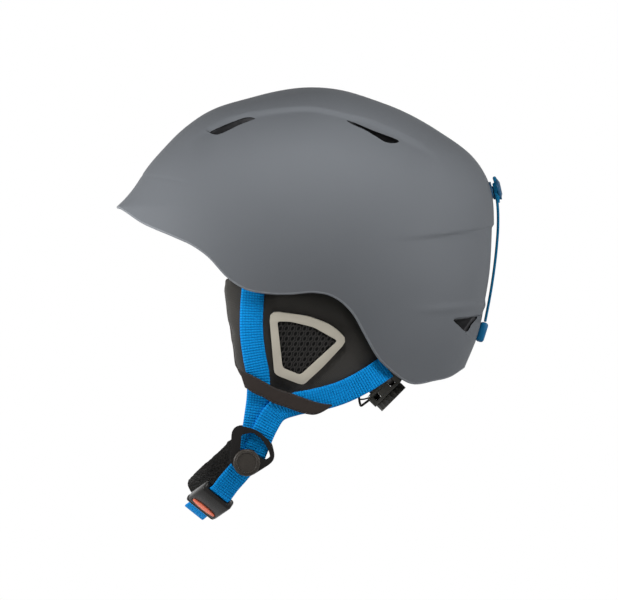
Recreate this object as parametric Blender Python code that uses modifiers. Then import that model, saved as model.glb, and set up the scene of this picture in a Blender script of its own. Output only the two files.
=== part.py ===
"""Ski helmet with ear pads, chin webbing and buckle, a fit dial at the nape and a goggle retainer.

Front is -X, the wearer's left is -Y and up is +Z. The origin is the underside of the crown pad,
where the head sits. Outlines are drawn in millimetres in the side view, as (x, z) pairs.
"""

import math

import bmesh
import bpy
import numpy as np
from mathutils import Matrix, Vector

MM = 0.001

# Main sizes of the shell, and what they are in the side drawing, which they stretch
SHELL_LENGTH = 286.5 * MM
SHELL_WIDTH = 214.0 * MM
SHELL_HEIGHT = 224.0 * MM
DRAWN_LENGTH = 286.5
DRAWN_WIDTH = 214.0
DRAWN_HEIGHT = 224.0
X_SCALE = SHELL_LENGTH / DRAWN_LENGTH
Y_SCALE = SHELL_WIDTH / DRAWN_WIDTH
Z_SCALE = SHELL_HEIGHT / DRAWN_HEIGHT

# Clearances
FIT_GAP = 0.3 * MM
SKIN_GAP = 0.6 * MM
PAD_GAP = 1.0 * MM

# Shell, liner and comfort pads
SHELL_WALL = 2.6 * MM
LINER_THICKNESS = 25.2 * MM
CROWN_PAD_THICKNESS = 8.4 * MM
COMFORT_PAD_THICKNESS = 7.0 * MM
SKIRT_DEPTH = 8.0 * MM
DRAWN_CROWN = 37.8
DRAWN_APEX_X = -6.0
DRAWN_BRIM_REACH = 8.3
DRAWN_CREASE_DEPTH = 67.0
DRAWN_TIP_DEPTH = 90.5
BRIM_CURL = 2.2
CROWN_TOP = SHELL_WALL + SKIN_GAP + LINER_THICKNESS + PAD_GAP + CROWN_PAD_THICKNESS
APEX_X = DRAWN_APEX_X * X_SCALE
BRIM_REACH = DRAWN_BRIM_REACH * X_SCALE
BRIM_CREASE_DEPTH = DRAWN_CREASE_DEPTH * Z_SCALE
BRIM_TIP_DEPTH = DRAWN_TIP_DEPTH * Z_SCALE

# Reach of the shell from the apex axis, by depth below the crown
FRONT_PROFILE = [(0, 0), (2.8, 26.1), (8.3, 48.4), (14.6, 70.0), (29.7, 95.5), (44.7, 111.2), (67.2, 129.5),
                 (90.5, 140.0), (112.8, 146.0), (157.8, 146.0), (227.8, 136.0)]
REAR_PROFILE = [(0, 0), (1.4, 18.0), (9.4, 46.5), (17.7, 68.0), (33.3, 96.0), (52.8, 122.0), (73.5, 134.6),
                (102.4, 138.2), (126.0, 136.6), (158.6, 132.0), (191.4, 124.8), (212.8, 116.0),
                (227.8, 110.0)]
SIDE_PROFILE = [(0, 0), (7.8, 42.0), (17.8, 62.0), (32.8, 80.0), (52.8, 94.0), (77.8, 103.0), (112.8, 107.0),
                (155.8, 105.0), (187.8, 101.0), (227.8, 95.0)]

# Lower edge of the shell, from the brim to the nape
RIM = [(-160.0, -51.0), (-154.3, -52.7), (-135.5, -64.5), (-111.9, -74.9), (-96.3, -82.2), (-84.5, -90.7),
       (-70.1, -106.2), (-58.5, -114.1), (-41.0, -118.3), (-22.8, -118.9), (-3.4, -117.7), (8.7, -120.2),
       (19.6, -127.4), (26.9, -135.9), (34.2, -149.2), (43.9, -166.2), (54.7, -177.1), (68.4, -186.2),
       (87.3, -184.5), (99.9, -181.3), (110.0, -175.0), (120.0, -170.0)]

# Vents, as seen from the side
FRONT_VENT = [(-85.0, 4.2), (-78.3, 2.6), (-69.0, 7.2), (-60.0, 10.8), (-50.5, 14.2), (-61.0, 15.2),
              (-74.0, 11.0)]
REAR_VENT = [(21.1, 12.3), (36.3, 4.9), (48.3, -2.4), (56.0, -4.4), (63.4, -0.5), (59.9, 2.2), (46.3, 8.1),
             (30.8, 12.7)]
LOWER_VENT = [(103.1, -140.1), (119.3, -137.3), (111.6, -148.2)]
VENT_OVERRUN = 8.0 * MM

# Ear pads
EAR_RIM_Z = -118.0
EAR_RECESS = 11.5
EAR_LEAN = 12.74
EAR_LEAN_HEIGHT = 98.0
EAR_BOW_SPAN = 105.3
EAR_FLAT_X = -12.0
EAR_FLAT_HALF = 32.0
PLUMB_ABOVE_RING = 2.8 * MM
EAR_BOW_FADE = 20.0 * MM
EAR_PAD_THICKNESS = 15.0 * MM
EAR_TUCK = 6.4 * MM
EAR_CENTRE = (-12.0, -158.0)
EAR_LOWER_EDGE = [(-69.5, -104.0), (-72.7, -112.0), (-71.6, -122.5), (-70.1, -136.3), (-67.9, -154.7),
                  (-64.7, -171.7), (-60.9, -181.7), (-55.9, -189.3), (-44.2, -197.8), (-28.7, -205.7),
                  (-13.1, -210.0), (-3.0, -210.0), (9.0, -204.5), (28.0, -196.0), (46.0, -186.0),
                  (57.0, -178.0)]
EAR_UPPER_X = [56.0, 44.0, 34.0, 27.0, 19.6, 8.7, -3.4, -22.8, -41.0, -58.5]
FRAME_OUTER = [(-38.8, -131.6), (-8.3, -135.8), (8.0, -142.2), (21.5, -153.5), (1.9, -174.6), (-13.0, -188.2),
               (-34.6, -179.8)]
FRAME_INNER = [(-32.4, -139.6), (-21.8, -140.0), (-4.9, -144.1), (13.4, -154.4), (-15.0, -180.4),
               (-28.4, -175.0)]
FRAME_THICKNESS = 3.0 * MM
FRAME_CORNERS = [8.0, 6.0, 6.0, 7.0, 6.0, 3.5, 3.5]
FRAME_INNER_CORNER = 2.5
MESH_THICKNESS = 1.4 * MM
MESH_PITCH = 5.4 * MM
MESH_HOLE = (1.0 * MM, 1.9 * MM)
MESH_SLANT = math.radians(-28.0)
BAND_UPPER = [(-61.5, -176.0), (-54.4, -179.4), (-42.2, -185.8), (-35.7, -189.6), (-18.7, -195.5),
              (-10.2, -198.7), (4.8, -204.2)]
BAND_LOWER = [(-57.0, -190.0), (-52.0, -193.4), (-42.0, -198.2), (-36.8, -201.3), (-25.1, -205.4),
              (-12.3, -209.8), (1.0, -209.4)]
BAND_THICKNESS = 1.6 * MM

# Webbing and its anchors
STRAP_WIDTH = 17.5 * MM
STRAP_THICKNESS = 1.5 * MM
FRONT_STRAP = [(-50.4, -112.6), (-51.9, -134.0), (-51.8, -150.0), (-49.8, -166.0), (-47.0, -181.0),
               (-47.4, -196.0), (-49.8, -213.0), (-51.8, -229.0), (-53.0, -238.5)]
REAR_STRAP = [(50.8, -174.2), (32.4, -186.2), (17.2, -193.6), (-5.0, -200.0), (-18.0, -204.2),
              (-30.0, -210.6), (-39.0, -220.0), (-44.6, -230.0), (-48.0, -237.5)]
ANCHOR_THICKNESS = 1.6 * MM
ANCHOR_RISE = 0.8 * MM
FRONT_ANCHOR_X = (-58.5, -42.5)
REAR_ANCHOR_X = (47.0, 60.0)

# Strap dividers and their studs
RING_THICKNESS = 3.0 * MM
RING_OUTER = [(-66.9, -221.9), (-60.5, -218.8), (-48.1, -222.0), (-37.0, -231.5), (-34.2, -243.2),
              (-37.0, -247.6), (-53.5, -258.0), (-63.8, -253.4), (-68.2, -245.9)]
RING_SLOT = [(-59.4, -225.8), (-50.8, -224.1), (-44.3, -229.0), (-39.1, -237.3), (-37.6, -243.0),
             (-41.4, -245.9), (-48.0, -240.2), (-54.8, -238.4), (-60.6, -239.2)]
RING_CORNER = 4.0
SLOT_CORNER = 2.0
STUD_CENTRE = (-55.5, -247.0)
STUD_CAP_RADIUS = 10.4 * MM
STUD_CAP_THICKNESS = 2.2 * MM
STUD_SHANK_RADIUS = 2.6 * MM
STUD_HEAD_RADIUS = 5.5 * MM
STUD_HEAD_THICKNESS = 1.2 * MM
STUD_RUNNING_GAP = 0.15 * MM

# Chin webbing, as points beyond the stud: side view (x, z) and how far inwards from the stud
CHIN_STRAP_TOP = 6.0 * MM
CHIN_RUN = [(-62.0, -254.6, 0.0), (-69.5, -263.2, 2.4)]
CHIN_ENTRY = (-76.5, -271.4, 9.5)
CHIN_CROSS = [(-95.6, 0.0, -285.2), (-93.4, 28.0, -283.6), (-84.5, 56.0, -276.0), (-72.0, 72.5, -264.6)]
CHIN_PAD_WIDTH = 32.0 * MM
CHIN_PAD_THICKNESS = 7.0 * MM
CHIN_PAD_TOP = 20.0 * MM
CHIN_PAD_END = 90.0 * MM
CHIN_PAD_FORWARD = 7.0 * MM

# Buckle
BUCKLE_AXIS = (-0.41, 0.866, -0.287)
BUCKLE_ACROSS = (0.775, 0.16, -0.623)
BUCKLE_LENGTH = 30.0 * MM
BUCKLE_WIDTH = 27.0 * MM
BUCKLE_DEPTH = 9.0 * MM
BUCKLE_ROUNDING = 2.2 * MM
TONGUE_WIDTH = 17.0 * MM
TONGUE_THICKNESS = 2.4 * MM
TONGUE_REACH = 21.0 * MM
TONGUE_HEAD_LENGTH = 4.6 * MM
TONGUE_RUNNING_GAP = 0.3 * MM
STRAP_SEAT = 3.0 * MM
STRAP_LEAD = 4.0 * MM
BUTTON_LENGTH = 21.0 * MM
BUTTON_WIDTH = 6.0 * MM
BUTTON_FROM_END = 4.0 * MM
BUTTON_TRAVEL = 1.0 * MM
BUTTON_THICKNESS = 1.6 * MM
BUTTON_PROUD = 0.8 * MM
SPRING_THICKNESS = 0.4 * MM
SPRING_LENGTH = 14.0 * MM
SPRING_WIDTH = 4.0 * MM

# Fit system at the nape
FIT_CENTRE = (45.8, -189.2)
FIT_LEAN = math.radians(45.0)
FIT_LENGTH = 34.0 * MM
FIT_HEIGHT = 28.0 * MM
FIT_BASE_THICKNESS = 1.6 * MM
FIT_COVER_WALL = 1.6 * MM
FIT_ROOM = 5.2 * MM
DIAL_RADIUS = 13.0 * MM
DIAL_THICKNESS = 5.6 * MM
DIAL_RIBS = 18
DIAL_RIB_DEPTH = 0.9 * MM
PINION_RADIUS = 5.2 * MM
PINION_THICKNESS = 3.0 * MM
PINION_SHAFT_RADIUS = 2.5 * MM
BAND_LEVEL = -150.0
BAND_ROOM = 1.09 * MM
FIT_BAND_THICKNESS = 1.3 * MM
FIT_BAND_HALF_HEIGHT = 5.0 * MM
RACK_HEIGHT = 4.0 * MM
RACK_REACH = math.radians(11.0)
RACK_END = math.radians(28.0)
FIT_BAND_START = math.radians(36.0)
FIT_BAND_END = math.radians(96.0)
HANGER_WIDTH = 22.0 * MM
HANGER_TOP_WIDTH = 10.0 * MM
HANGER_THICKNESS = 1.6 * MM
HANGER_STOP = 4.0 * MM
SCREW_RADIUS = 1.2 * MM
SCREW_HEAD_RADIUS = 2.2 * MM
SCREW_HEAD_THICKNESS = 1.0 * MM
SCREW_BITE = 1.0 * MM

# Goggle retainer
HOOK_DEPTH = 78.5
HOOK_FLANGE_RADIUS = 6.5 * MM
HOOK_FLANGE_THICKNESS = 1.8 * MM
HOOK_STEM_RADIUS = 2.8 * MM
HOOK_STEM_LENGTH = 3.6 * MM
HOOK_CAP_RADIUS = 7.8 * MM
HOOK_CAP_THICKNESS = 3.0 * MM
CORD_RADIUS = 1.1 * MM
CORD_LIFT = 2.0 * MM
CORD_TOP_DEPTH = 105.0
RETAINER_DEPTH = 185.0
RETAINER_LENGTH = 15.5 * MM
RETAINER_WIDTH = 11.0 * MM
RETAINER_THICKNESS = 6.5 * MM

# Fineness of the facets
COLUMNS = 48
ROWS = 12
SIDE_CROWDING = 0.2
ROUND_STEPS = 20

for old in list(bpy.data.objects):
    bpy.data.objects.remove(old, do_unlink=True)


def new_collection(name):
    collection = bpy.data.collections.new(name)
    bpy.context.scene.collection.children.link(collection)
    return collection


PARTS = new_collection("ski_helmet")
CUTTERS = new_collection("ski_helmet_cutters")


def principled(name, colour, roughness, metallic=0.0):
    """Material of a colour given in screen values from 0 to 255."""
    material = bpy.data.materials.new(name)
    material.use_nodes = True
    shader = material.node_tree.nodes["Principled BSDF"]
    linear = [(value / 255) ** 2.2 for value in colour]
    shader.inputs["Base Color"].default_value = (*linear, 1.0)
    shader.inputs["Roughness"].default_value = roughness
    shader.inputs["Metallic"].default_value = metallic
    return material


SHELL_FINISH = principled("matte_grey_shell", (110, 114, 120), 0.55)
FOAM = principled("black_foam", (30, 30, 32), 0.9)
PAD_CLOTH = principled("black_pad_cloth", (42, 41, 39), 0.95)
FLEECE = principled("black_fleece", (28, 28, 29), 1.0)
FRAME_FINISH = principled("pale_satin_frame", (182, 177, 164), 0.4)
MESH_CLOTH = principled("black_mesh", (34, 34, 35), 0.8)
BINDING = principled("black_binding", (48, 44, 42), 0.85)
WEBBING = principled("blue_webbing", (14, 124, 206), 0.75)
BLACK_PLASTIC = principled("black_plastic", (32, 31, 31), 0.35)
BUTTON_FINISH = principled("orange_button", (240, 110, 85), 0.4)
SPRING_STEEL = principled("spring_steel", (170, 172, 175), 0.3, 1.0)
CORD_FINISH = principled("blue_elastic", (20, 120, 175), 0.7)
BLUE_PLASTIC = principled("blue_plastic", (20, 110, 185), 0.45)


def smooth_curve(points):
    """Smooth function through (input, output) pairs in rising order, level beyond both ends."""
    given = np.array([pair[0] for pair in points], float)
    wanted = np.array([pair[1] for pair in points], float)
    slopes = np.gradient(wanted, given)

    def value(at):
        at = min(max(at, given[0]), given[-1])
        i = min(int(np.searchsorted(given, at, side="right")) - 1, len(given) - 2)
        span = given[i + 1] - given[i]
        t = (at - given[i]) / span
        rise = t * t * (3 - 2 * t)
        start_pull = t * (1 - t) ** 2 * span * slopes[i]
        end_pull = t * t * (t - 1) * span * slopes[i + 1]
        return wanted[i] + rise * (wanted[i + 1] - wanted[i]) + start_pull + end_pull

    return value


def by_root_depth(profile):
    """Profile as a function of the root of the depth, in which a round crown is a straight line."""
    return smooth_curve([(math.sqrt(depth), reach) for depth, reach in profile])


FRONT_REACH = by_root_depth(FRONT_PROFILE)
REAR_REACH = by_root_depth(REAR_PROFILE)
SIDE_REACH = by_root_depth(SIDE_PROFILE)
RIM_HEIGHT = smooth_curve(RIM)


def drawn_height(z):
    """World height of a height in the side drawing."""
    return CROWN_TOP + (z - DRAWN_CROWN) * Z_SCALE


def drawn(outline):
    """World (x, z) pairs of a side drawing."""
    return [(x * X_SCALE, drawn_height(z)) for x, z in outline]


def rim_height(x):
    """World height of the shell's lower edge, by world x."""
    return drawn_height(RIM_HEIGHT(x / X_SCALE))


def shell_point(angle, depth, with_brim=True):
    """Point of the outer surface, by the angle from the rear and the depth below the crown."""
    root = math.sqrt(depth / Z_SCALE)
    along = math.cos(angle)
    if along > 0:
        reach = REAR_REACH(root) * X_SCALE
    else:
        reach = FRONT_REACH(root) * X_SCALE
        if with_brim:
            fall = (depth - BRIM_CREASE_DEPTH) / (BRIM_TIP_DEPTH - BRIM_CREASE_DEPTH)
            reach += BRIM_REACH * min(max(fall, 0.0), 1.0) ** BRIM_CURL * abs(along) ** 3
    return Vector((APEX_X + along * reach, math.sin(angle) * SIDE_REACH(root) * Y_SCALE, CROWN_TOP - depth))


def shell_normal(angle, depth, with_brim=True):
    """Outward direction of the outer surface."""
    if depth < MM / 10:
        return Vector((0, 0, 1))
    turn = math.radians(0.5)
    step = min(MM / 2, depth / 2)
    around = shell_point(angle + turn, depth, with_brim) - shell_point(angle - turn, depth, with_brim)
    down = shell_point(angle, depth + step, with_brim) - shell_point(angle, depth - step, with_brim)
    return down.cross(around).normalized()


def rim_depth(angle):
    """Depth at which the surface meets the shell's lower edge, by halving."""
    high = BRIM_CREASE_DEPTH
    low = REAR_PROFILE[-1][0] * Z_SCALE
    for _ in range(40):
        middle = (high + low) / 2
        point = shell_point(angle, middle)
        if point.z > rim_height(point.x):
            high = middle
        else:
            low = middle
    return (high + low) / 2


COLUMN_TURNS = [2 * math.pi * column / COLUMNS for column in range(COLUMNS)]
COLUMN_ANGLES = [turn + SIDE_CROWDING * math.sin(2 * turn) for turn in COLUMN_TURNS]
RIM_DEPTHS = [rim_depth(angle) for angle in COLUMN_ANGLES]


def grid_depth(row, column):
    """Depth of a grid point: rows crowd towards the crown, and the last one is the rim itself."""
    if row > ROWS:
        return RIM_DEPTHS[column]
    return (row / ROWS) ** 2 * (RIM_DEPTHS[column] - SKIRT_DEPTH)


def finish_mesh(name, bm, material, collection=PARTS):
    """Object from a bmesh, which is freed."""
    mesh = bpy.data.meshes.new(name)
    bm.to_mesh(mesh)
    bm.free()
    mesh.materials.append(material)
    piece = bpy.data.objects.new(name, mesh)
    collection.objects.link(piece)
    return piece


def dome_patch(name, rows, columns, inset, thickness, material, with_brim=False, crowned=False):
    """Solid on part of the dome, inset from the outer surface and thickened inwards.

    A crowned patch is full in its middle and thins towards its edges, as a stuffed pad does.
    """
    bm = bmesh.new()
    grid = {}
    fullness = []
    whole_round = len(columns) == COLUMNS
    for row in rows:
        for place, column in enumerate(columns):
            if row == 0 and place > 0:
                grid[row, place] = grid[0, 0]
                continue
            angle = COLUMN_ANGLES[column % COLUMNS]
            depth = grid_depth(row, column % COLUMNS)
            point = shell_point(angle, depth, with_brim) - inset * shell_normal(angle, depth, with_brim)
            grid[row, place] = bm.verts.new(point)
            from_edge = rows[-1] - row
            if rows[0] > 0:
                from_edge = min(from_edge, row - rows[0], place, len(columns) - 1 - place)
            fullness.append(min(from_edge, 1))
    last = len(columns) if whole_round else len(columns) - 1
    for upper, lower in zip(rows, rows[1:]):
        for place in range(last):
            following = (place + 1) % len(columns)
            corners = [grid[upper, place], grid[lower, place], grid[lower, following], grid[upper, following]]
            if upper == 0:
                corners.pop()
            bm.faces.new(corners)
    piece = finish_mesh(name, bm, material)
    solidify = piece.modifiers.new("wall", "SOLIDIFY")
    solidify.thickness = thickness
    solidify.offset = -1
    solidify.use_even_offset = True
    if crowned:
        group = piece.vertex_groups.new(name="fullness")
        for index, weight in enumerate(fullness):
            group.add([index], weight, "REPLACE")
        solidify.vertex_group = group.name
        solidify.thickness_vertex_group = 0.35
    piece.data.shade_smooth()
    return piece


def solid_from_rings(name, rings, material, collection=PARTS):
    """Solid that joins closed rings of points in order, with both ends closed."""
    bm = bmesh.new()
    loops = [[bm.verts.new(point) for point in ring] for ring in rings]
    for first, second in zip(loops, loops[1:]):
        for i in range(len(first)):
            following = (i + 1) % len(first)
            bm.faces.new((first[i], first[following], second[following], second[i]))
    bm.faces.new(loops[0])
    bm.faces.new(loops[-1])
    bmesh.ops.recalc_face_normals(bm, faces=bm.faces)
    return finish_mesh(name, bm, material, collection)


def mesh_of(source):
    """Evaluated mesh of an object, with its caps welded."""
    graph = bpy.context.evaluated_depsgraph_get()
    mesh = bpy.data.meshes.new_from_object(source.evaluated_get(graph))
    bm = bmesh.new()
    bm.from_mesh(mesh)
    bmesh.ops.remove_doubles(bm, verts=bm.verts, dist=MM / 1000)
    bm.to_mesh(mesh)
    bm.free()
    return mesh


def solid_from_curve(name, curve, frame, material, collection):
    """Mesh object from curve data, placed by a frame."""
    drawn = bpy.data.objects.new(name + "_outline", curve)
    bpy.context.scene.collection.objects.link(drawn)
    mesh = mesh_of(drawn)
    bpy.data.objects.remove(drawn, do_unlink=True)
    mesh.materials.clear()
    mesh.materials.append(material)
    piece = bpy.data.objects.new(name, mesh)
    collection.objects.link(piece)
    piece.matrix_world = frame
    return piece


def plate(name, outlines, thickness, frame, material, collection=PARTS):
    """Flat piece in a frame's XY plane: the first outline is its edge and the others are holes."""
    curve = bpy.data.curves.new(name, "CURVE")
    curve.dimensions = "2D"
    curve.fill_mode = "BOTH"
    curve.extrude = thickness / 2
    for outline in outlines:
        spline = curve.splines.new("POLY")
        spline.points.add(len(outline) - 1)
        for point, (x, y) in zip(spline.points, outline):
            point.co = (x, y, 0, 1)
        spline.use_cyclic_u = True
    return solid_from_curve(name, curve, frame, material, collection)


def turned(name, profile, frame, material, collection=PARTS):
    """Turned piece about a frame's Z axis, from (radius, height) pairs running down its outer side."""
    bm = bmesh.new()
    verts = [bm.verts.new((radius, 0, height)) for radius, height in profile]
    for first, second in zip(verts, verts[1:]):
        bm.edges.new((first, second))
    piece = finish_mesh(name, bm, material, collection)
    screw = piece.modifiers.new("turn", "SCREW")
    screw.steps = ROUND_STEPS
    screw.render_steps = ROUND_STEPS
    screw.use_merge_vertices = True
    screw.merge_threshold = MM / 100
    piece.matrix_world = frame
    return piece


def box(name, low, high, frame, material, rounding=0.0, collection=PARTS):
    """Box between two corners of a frame, with rounded edges if a rounding is given."""
    bm = bmesh.new()
    size = Vector(high) - Vector(low)
    middle = (Vector(high) + Vector(low)) / 2
    bmesh.ops.create_cube(bm, size=1.0, matrix=Matrix.Translation(middle) @ Matrix.Diagonal((*size, 1.0)))
    piece = finish_mesh(name, bm, material, collection)
    if rounding > 0:
        bevel = piece.modifiers.new("rounding", "BEVEL")
        bevel.width = rounding
        bevel.segments = 2
    piece.matrix_world = frame
    return piece


def cut(piece, cutter):
    """Cut one piece by another, which stays as a wire helper."""
    boolean = piece.modifiers.new("cut_" + cutter.name, "BOOLEAN")
    boolean.object = cutter
    boolean.operation = "DIFFERENCE"
    cutter.hide_render = True
    cutter.display_type = "WIRE"


def mirrored(source, name):
    """Right-hand twin of a left-hand piece."""
    bpy.context.view_layer.update()
    mesh = mesh_of(source)
    mesh.transform(Matrix.Scale(-1, 4, (0, 1, 0)) @ source.matrix_world)
    mesh.flip_normals()
    piece = bpy.data.objects.new(name, mesh)
    PARTS.objects.link(piece)
    return piece


def hinge_empty(name, frame, pieces):
    """Empty on a joint's axis that carries the moving pieces."""
    empty = bpy.data.objects.new(name, None)
    PARTS.objects.link(empty)
    empty.matrix_world = frame
    for piece in pieces:
        piece.parent = empty
        piece.matrix_parent_inverse = frame.inverted()


def frame_from(x_axis, y_axis, origin):
    """Placing matrix from two directions and an origin; the second is made square to the first."""
    x_axis = Vector(x_axis).normalized()
    z_axis = x_axis.cross(Vector(y_axis)).normalized()
    y_axis = z_axis.cross(x_axis)
    matrix = Matrix((x_axis, y_axis, z_axis)).transposed().to_4x4()
    return Matrix.Translation(origin) @ matrix


def rounded(outline, radii, steps=3):
    """Outline whose corners are replaced by short curves, of one radius or of a radius each."""
    if not isinstance(radii, list):
        radii = [radii] * len(outline)
    result = []
    for i, corner in enumerate(outline):
        corner = Vector(corner)
        before = Vector(outline[i - 1]) - corner
        after = Vector(outline[(i + 1) % len(outline)]) - corner
        start = corner + before.normalized() * min(radii[i], before.length * 0.45)
        end = corner + after.normalized() * min(radii[i], after.length * 0.45)
        for step in range(steps + 1):
            t = step / steps
            result.append((start * (1 - t) ** 2 + corner * 2 * t * (1 - t) + end * t * t).to_tuple())
    return result


def inset_outline(outline, distance):
    """Outline moved inwards by a distance."""
    area = sum(a[0] * b[1] - b[0] * a[1] for a, b in zip(outline, outline[1:] + outline[:1]))
    turn = 1 if area > 0 else -1
    result = []
    for i, corner in enumerate(outline):
        before = (Vector(corner) - Vector(outline[i - 1])).normalized()
        after = (Vector(outline[(i + 1) % len(outline)]) - Vector(corner)).normalized()
        across = Vector((-(before + after).y, (before + after).x)).normalized() * turn
        lean = max(across.dot(Vector((-after.y, after.x)) * turn), 0.3)
        result.append((Vector(corner) + across * distance / lean).to_tuple())
    return result


def inside(outline, x, y):
    """Whether a point lies inside an outline."""
    found = False
    for (x1, y1), (x2, y2) in zip(outline, outline[1:] + outline[:1]):
        if (y1 > y) != (y2 > y) and x < x1 + (y - y1) * (x2 - x1) / (y2 - y1):
            found = not found
    return found


def smooth_route(points, steps):
    """Points along a smooth curve through given points of any dimension."""
    points = [Vector(point) for point in points]
    travel = [0.0]
    for first, second in zip(points, points[1:]):
        travel.append(travel[-1] + (second - first).length)
    curves = [smooth_curve(list(zip(travel, values))) for values in zip(*points)]
    places = np.linspace(0, travel[-1], steps)
    return [Vector([curve(place) for curve in curves]) for place in places]


EAR_TOP = drawn_height(EAR_RIM_Z)
EAR_OUT = (SIDE_REACH(math.sqrt(DRAWN_CROWN - EAR_RIM_Z)) - EAR_RECESS) * Y_SCALE - SHELL_WALL
EAR_SLOPE = EAR_LEAN * Y_SCALE / (EAR_LEAN_HEIGHT * Z_SCALE)
EAR_FLAT_MIDDLE = EAR_FLAT_X * X_SCALE
EAR_PLUMB = max(z for _, z in drawn(RING_OUTER)) + PLUMB_ABOVE_RING


def ear_out(x, z):
    """Distance from the middle plane to the outer face of the ear pads, on which the webbing lies."""
    above_plumb = max(z - EAR_PLUMB, 0.0)
    fall = EAR_TOP - EAR_PLUMB - above_plumb
    beyond = max(abs(x / X_SCALE - EAR_FLAT_X) - EAR_FLAT_HALF, 0.0)
    bow = beyond ** 2 / EAR_BOW_SPAN * Y_SCALE
    return EAR_OUT - EAR_SLOPE * fall - bow * min(above_plumb / EAR_BOW_FADE, 1.0)


def over_ear(x, z, lift):
    """Point on the left side, a lift above the ear pad's outer face."""
    return Vector((x, -ear_out(x, z) - lift, z))


def strip(name, first_edge, second_edge, lift, thickness, material):
    """Flat strip laid over the left ear pad, between two edges in the side view."""
    rings = []
    for a, b in zip(first_edge, second_edge):
        rings.append([over_ear(*a, lift), over_ear(*b, lift), over_ear(*b, lift + thickness),
                      over_ear(*a, lift + thickness)])
    return solid_from_rings(name, rings, material)


def strap(name, centre_line, lift):
    """Webbing laid over the left ear pad along a centre line in the side view."""
    route = smooth_route(drawn(centre_line), 2 * len(centre_line))
    first_edge = []
    second_edge = []
    for i, point in enumerate(route):
        along = (route[min(i + 1, len(route) - 1)] - route[max(i - 1, 0)]).normalized()
        across = Vector((-along.y, along.x)) * STRAP_WIDTH / 2
        first_edge.append((point + across).to_tuple())
        second_edge.append((point - across).to_tuple())
    return strip(name, first_edge, second_edge, lift, STRAP_THICKNESS, WEBBING)


def anchor(name, ends, lift):
    """Webbing anchor that follows the rim inside the shell's skirt, under the liner."""
    xs = [x * X_SCALE for x in np.linspace(*ends, 4)]
    lower = [(x, rim_height(x) + ANCHOR_RISE) for x in xs]
    upper = [(x, rim_height(x) + SKIRT_DEPTH - SKIN_GAP) for x in xs]
    return strip(name, lower, upper, lift, ANCHOR_THICKNESS, BLACK_PLASTIC)


def vent_cutter(name, outline, side):
    """Prism through shell and liner, square to the surface, from a vent's outline in the side view."""
    points = []
    for x, z in drawn(outline):
        depth = CROWN_TOP - z
        root = math.sqrt(depth / Z_SCALE)
        reach = REAR_REACH(root) if x > APEX_X else FRONT_REACH(root)
        points.append((math.acos((x - APEX_X) / (reach * X_SCALE)) * side, depth))
    middle = np.mean(points, axis=0)
    direction = shell_normal(*middle)
    inward = SHELL_WALL + SKIN_GAP + LINER_THICKNESS + VENT_OVERRUN
    spots = [shell_point(*point) for point in points]
    outer_ring = [spot + direction * VENT_OVERRUN for spot in spots]
    inner_ring = [spot - direction * inward for spot in spots]
    rings = [outer_ring, inner_ring]
    return solid_from_rings(name, rings, FOAM, CUTTERS)


def build_shell_and_liner():
    everything = range(COLUMNS)
    shell = dome_patch("outer_shell", range(ROWS + 2), everything, 0.0, SHELL_WALL, SHELL_FINISH,
                       with_brim=True)
    liner_inset = SHELL_WALL + SKIN_GAP
    liner = dome_patch("foam_liner", range(ROWS + 1), everything, liner_inset, LINER_THICKNESS, FOAM)
    for title, outline in (("front", FRONT_VENT), ("rear", REAR_VENT), ("lower", LOWER_VENT)):
        for side_name, side in (("left", -1), ("right", 1)):
            cutter = vent_cutter(f"{title}_vent_{side_name}", outline, side)
            cut(shell, cutter)
            cut(liner, cutter)
    pocket = inset_outline(ear_pad_outline(), -SKIN_GAP)
    side_view = frame_from((1, 0, 0), (0, 0, 1), (0, 0, 0))
    cut(liner, plate("ear_pocket", [pocket], 4 * EAR_OUT, side_view, FOAM, CUTTERS))


def build_comfort_pads():
    inset = SHELL_WALL + SKIN_GAP + LINER_THICKNESS + PAD_GAP
    quarter = COLUMNS // 4
    front = COLUMNS // 2
    dome_patch("crown_pad", range(4), range(COLUMNS), inset, CROWN_PAD_THICKNESS, PAD_CLOTH, crowned=True)
    pads = (
        ("brow_pad", range(ROWS - 3, ROWS + 1), range(front - 6, front + 7)),
        ("side_pad_right", range(ROWS - 6, ROWS - 1), range(quarter - 4, quarter + 5)),
        ("side_pad_left", range(ROWS - 6, ROWS - 1), range(3 * quarter - 4, 3 * quarter + 5)),
        ("nape_pad", range(ROWS - 5, ROWS - 1), range(-5, 6)),
    )
    for name, rows, columns in pads:
        dome_patch(name, rows, columns, inset, COMFORT_PAD_THICKNESS, PAD_CLOTH, crowned=True)


def ear_pad_outline():
    """Edge of an ear pad in the side view; its upper edge is tucked behind the rim."""
    upper = [(x * X_SCALE, rim_height(x * X_SCALE) + EAR_TUCK) for x in EAR_UPPER_X]
    return drawn(EAR_LOWER_EDGE) + upper


def build_ear_pad():
    """Stuffed pad: flat where the frame sits, crowned towards its drawn-in edges, with a hole for the ear."""
    outline = [Vector(point) for point in ear_pad_outline()]
    centre = Vector(drawn([EAR_CENTRE])[0])
    rings = []
    for share, back in ((0.5, 0), (0.8, 0), (0.94, 0), (1.0, 0), (0.94, 1), (0.8, 1), (0.5, 1)):
        fullness = math.sqrt(1 - share ** 5)
        sunk = EAR_PAD_THICKNESS / 2 * (1 - fullness)
        if back:
            sunk = EAR_PAD_THICKNESS - sunk
        ring = [centre + (point - centre) * share for point in outline]
        rings.append([over_ear(*point, -sunk) for point in ring])
    pad = solid_from_rings("ear_pad_left", rings, PAD_CLOTH)
    hole = inset_outline(rounded(drawn(FRAME_INNER), FRAME_INNER_CORNER * MM), -FIT_GAP)
    low = [over_ear(x, z, 2 * FRAME_THICKNESS) for x, z in hole]
    high = [over_ear(x, z, -2 * EAR_PAD_THICKNESS) for x, z in hole]
    cut(pad, solid_from_rings("ear_hole_cutter", [low, high], PAD_CLOTH, CUTTERS))
    pad.data.shade_smooth()
    return pad


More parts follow.
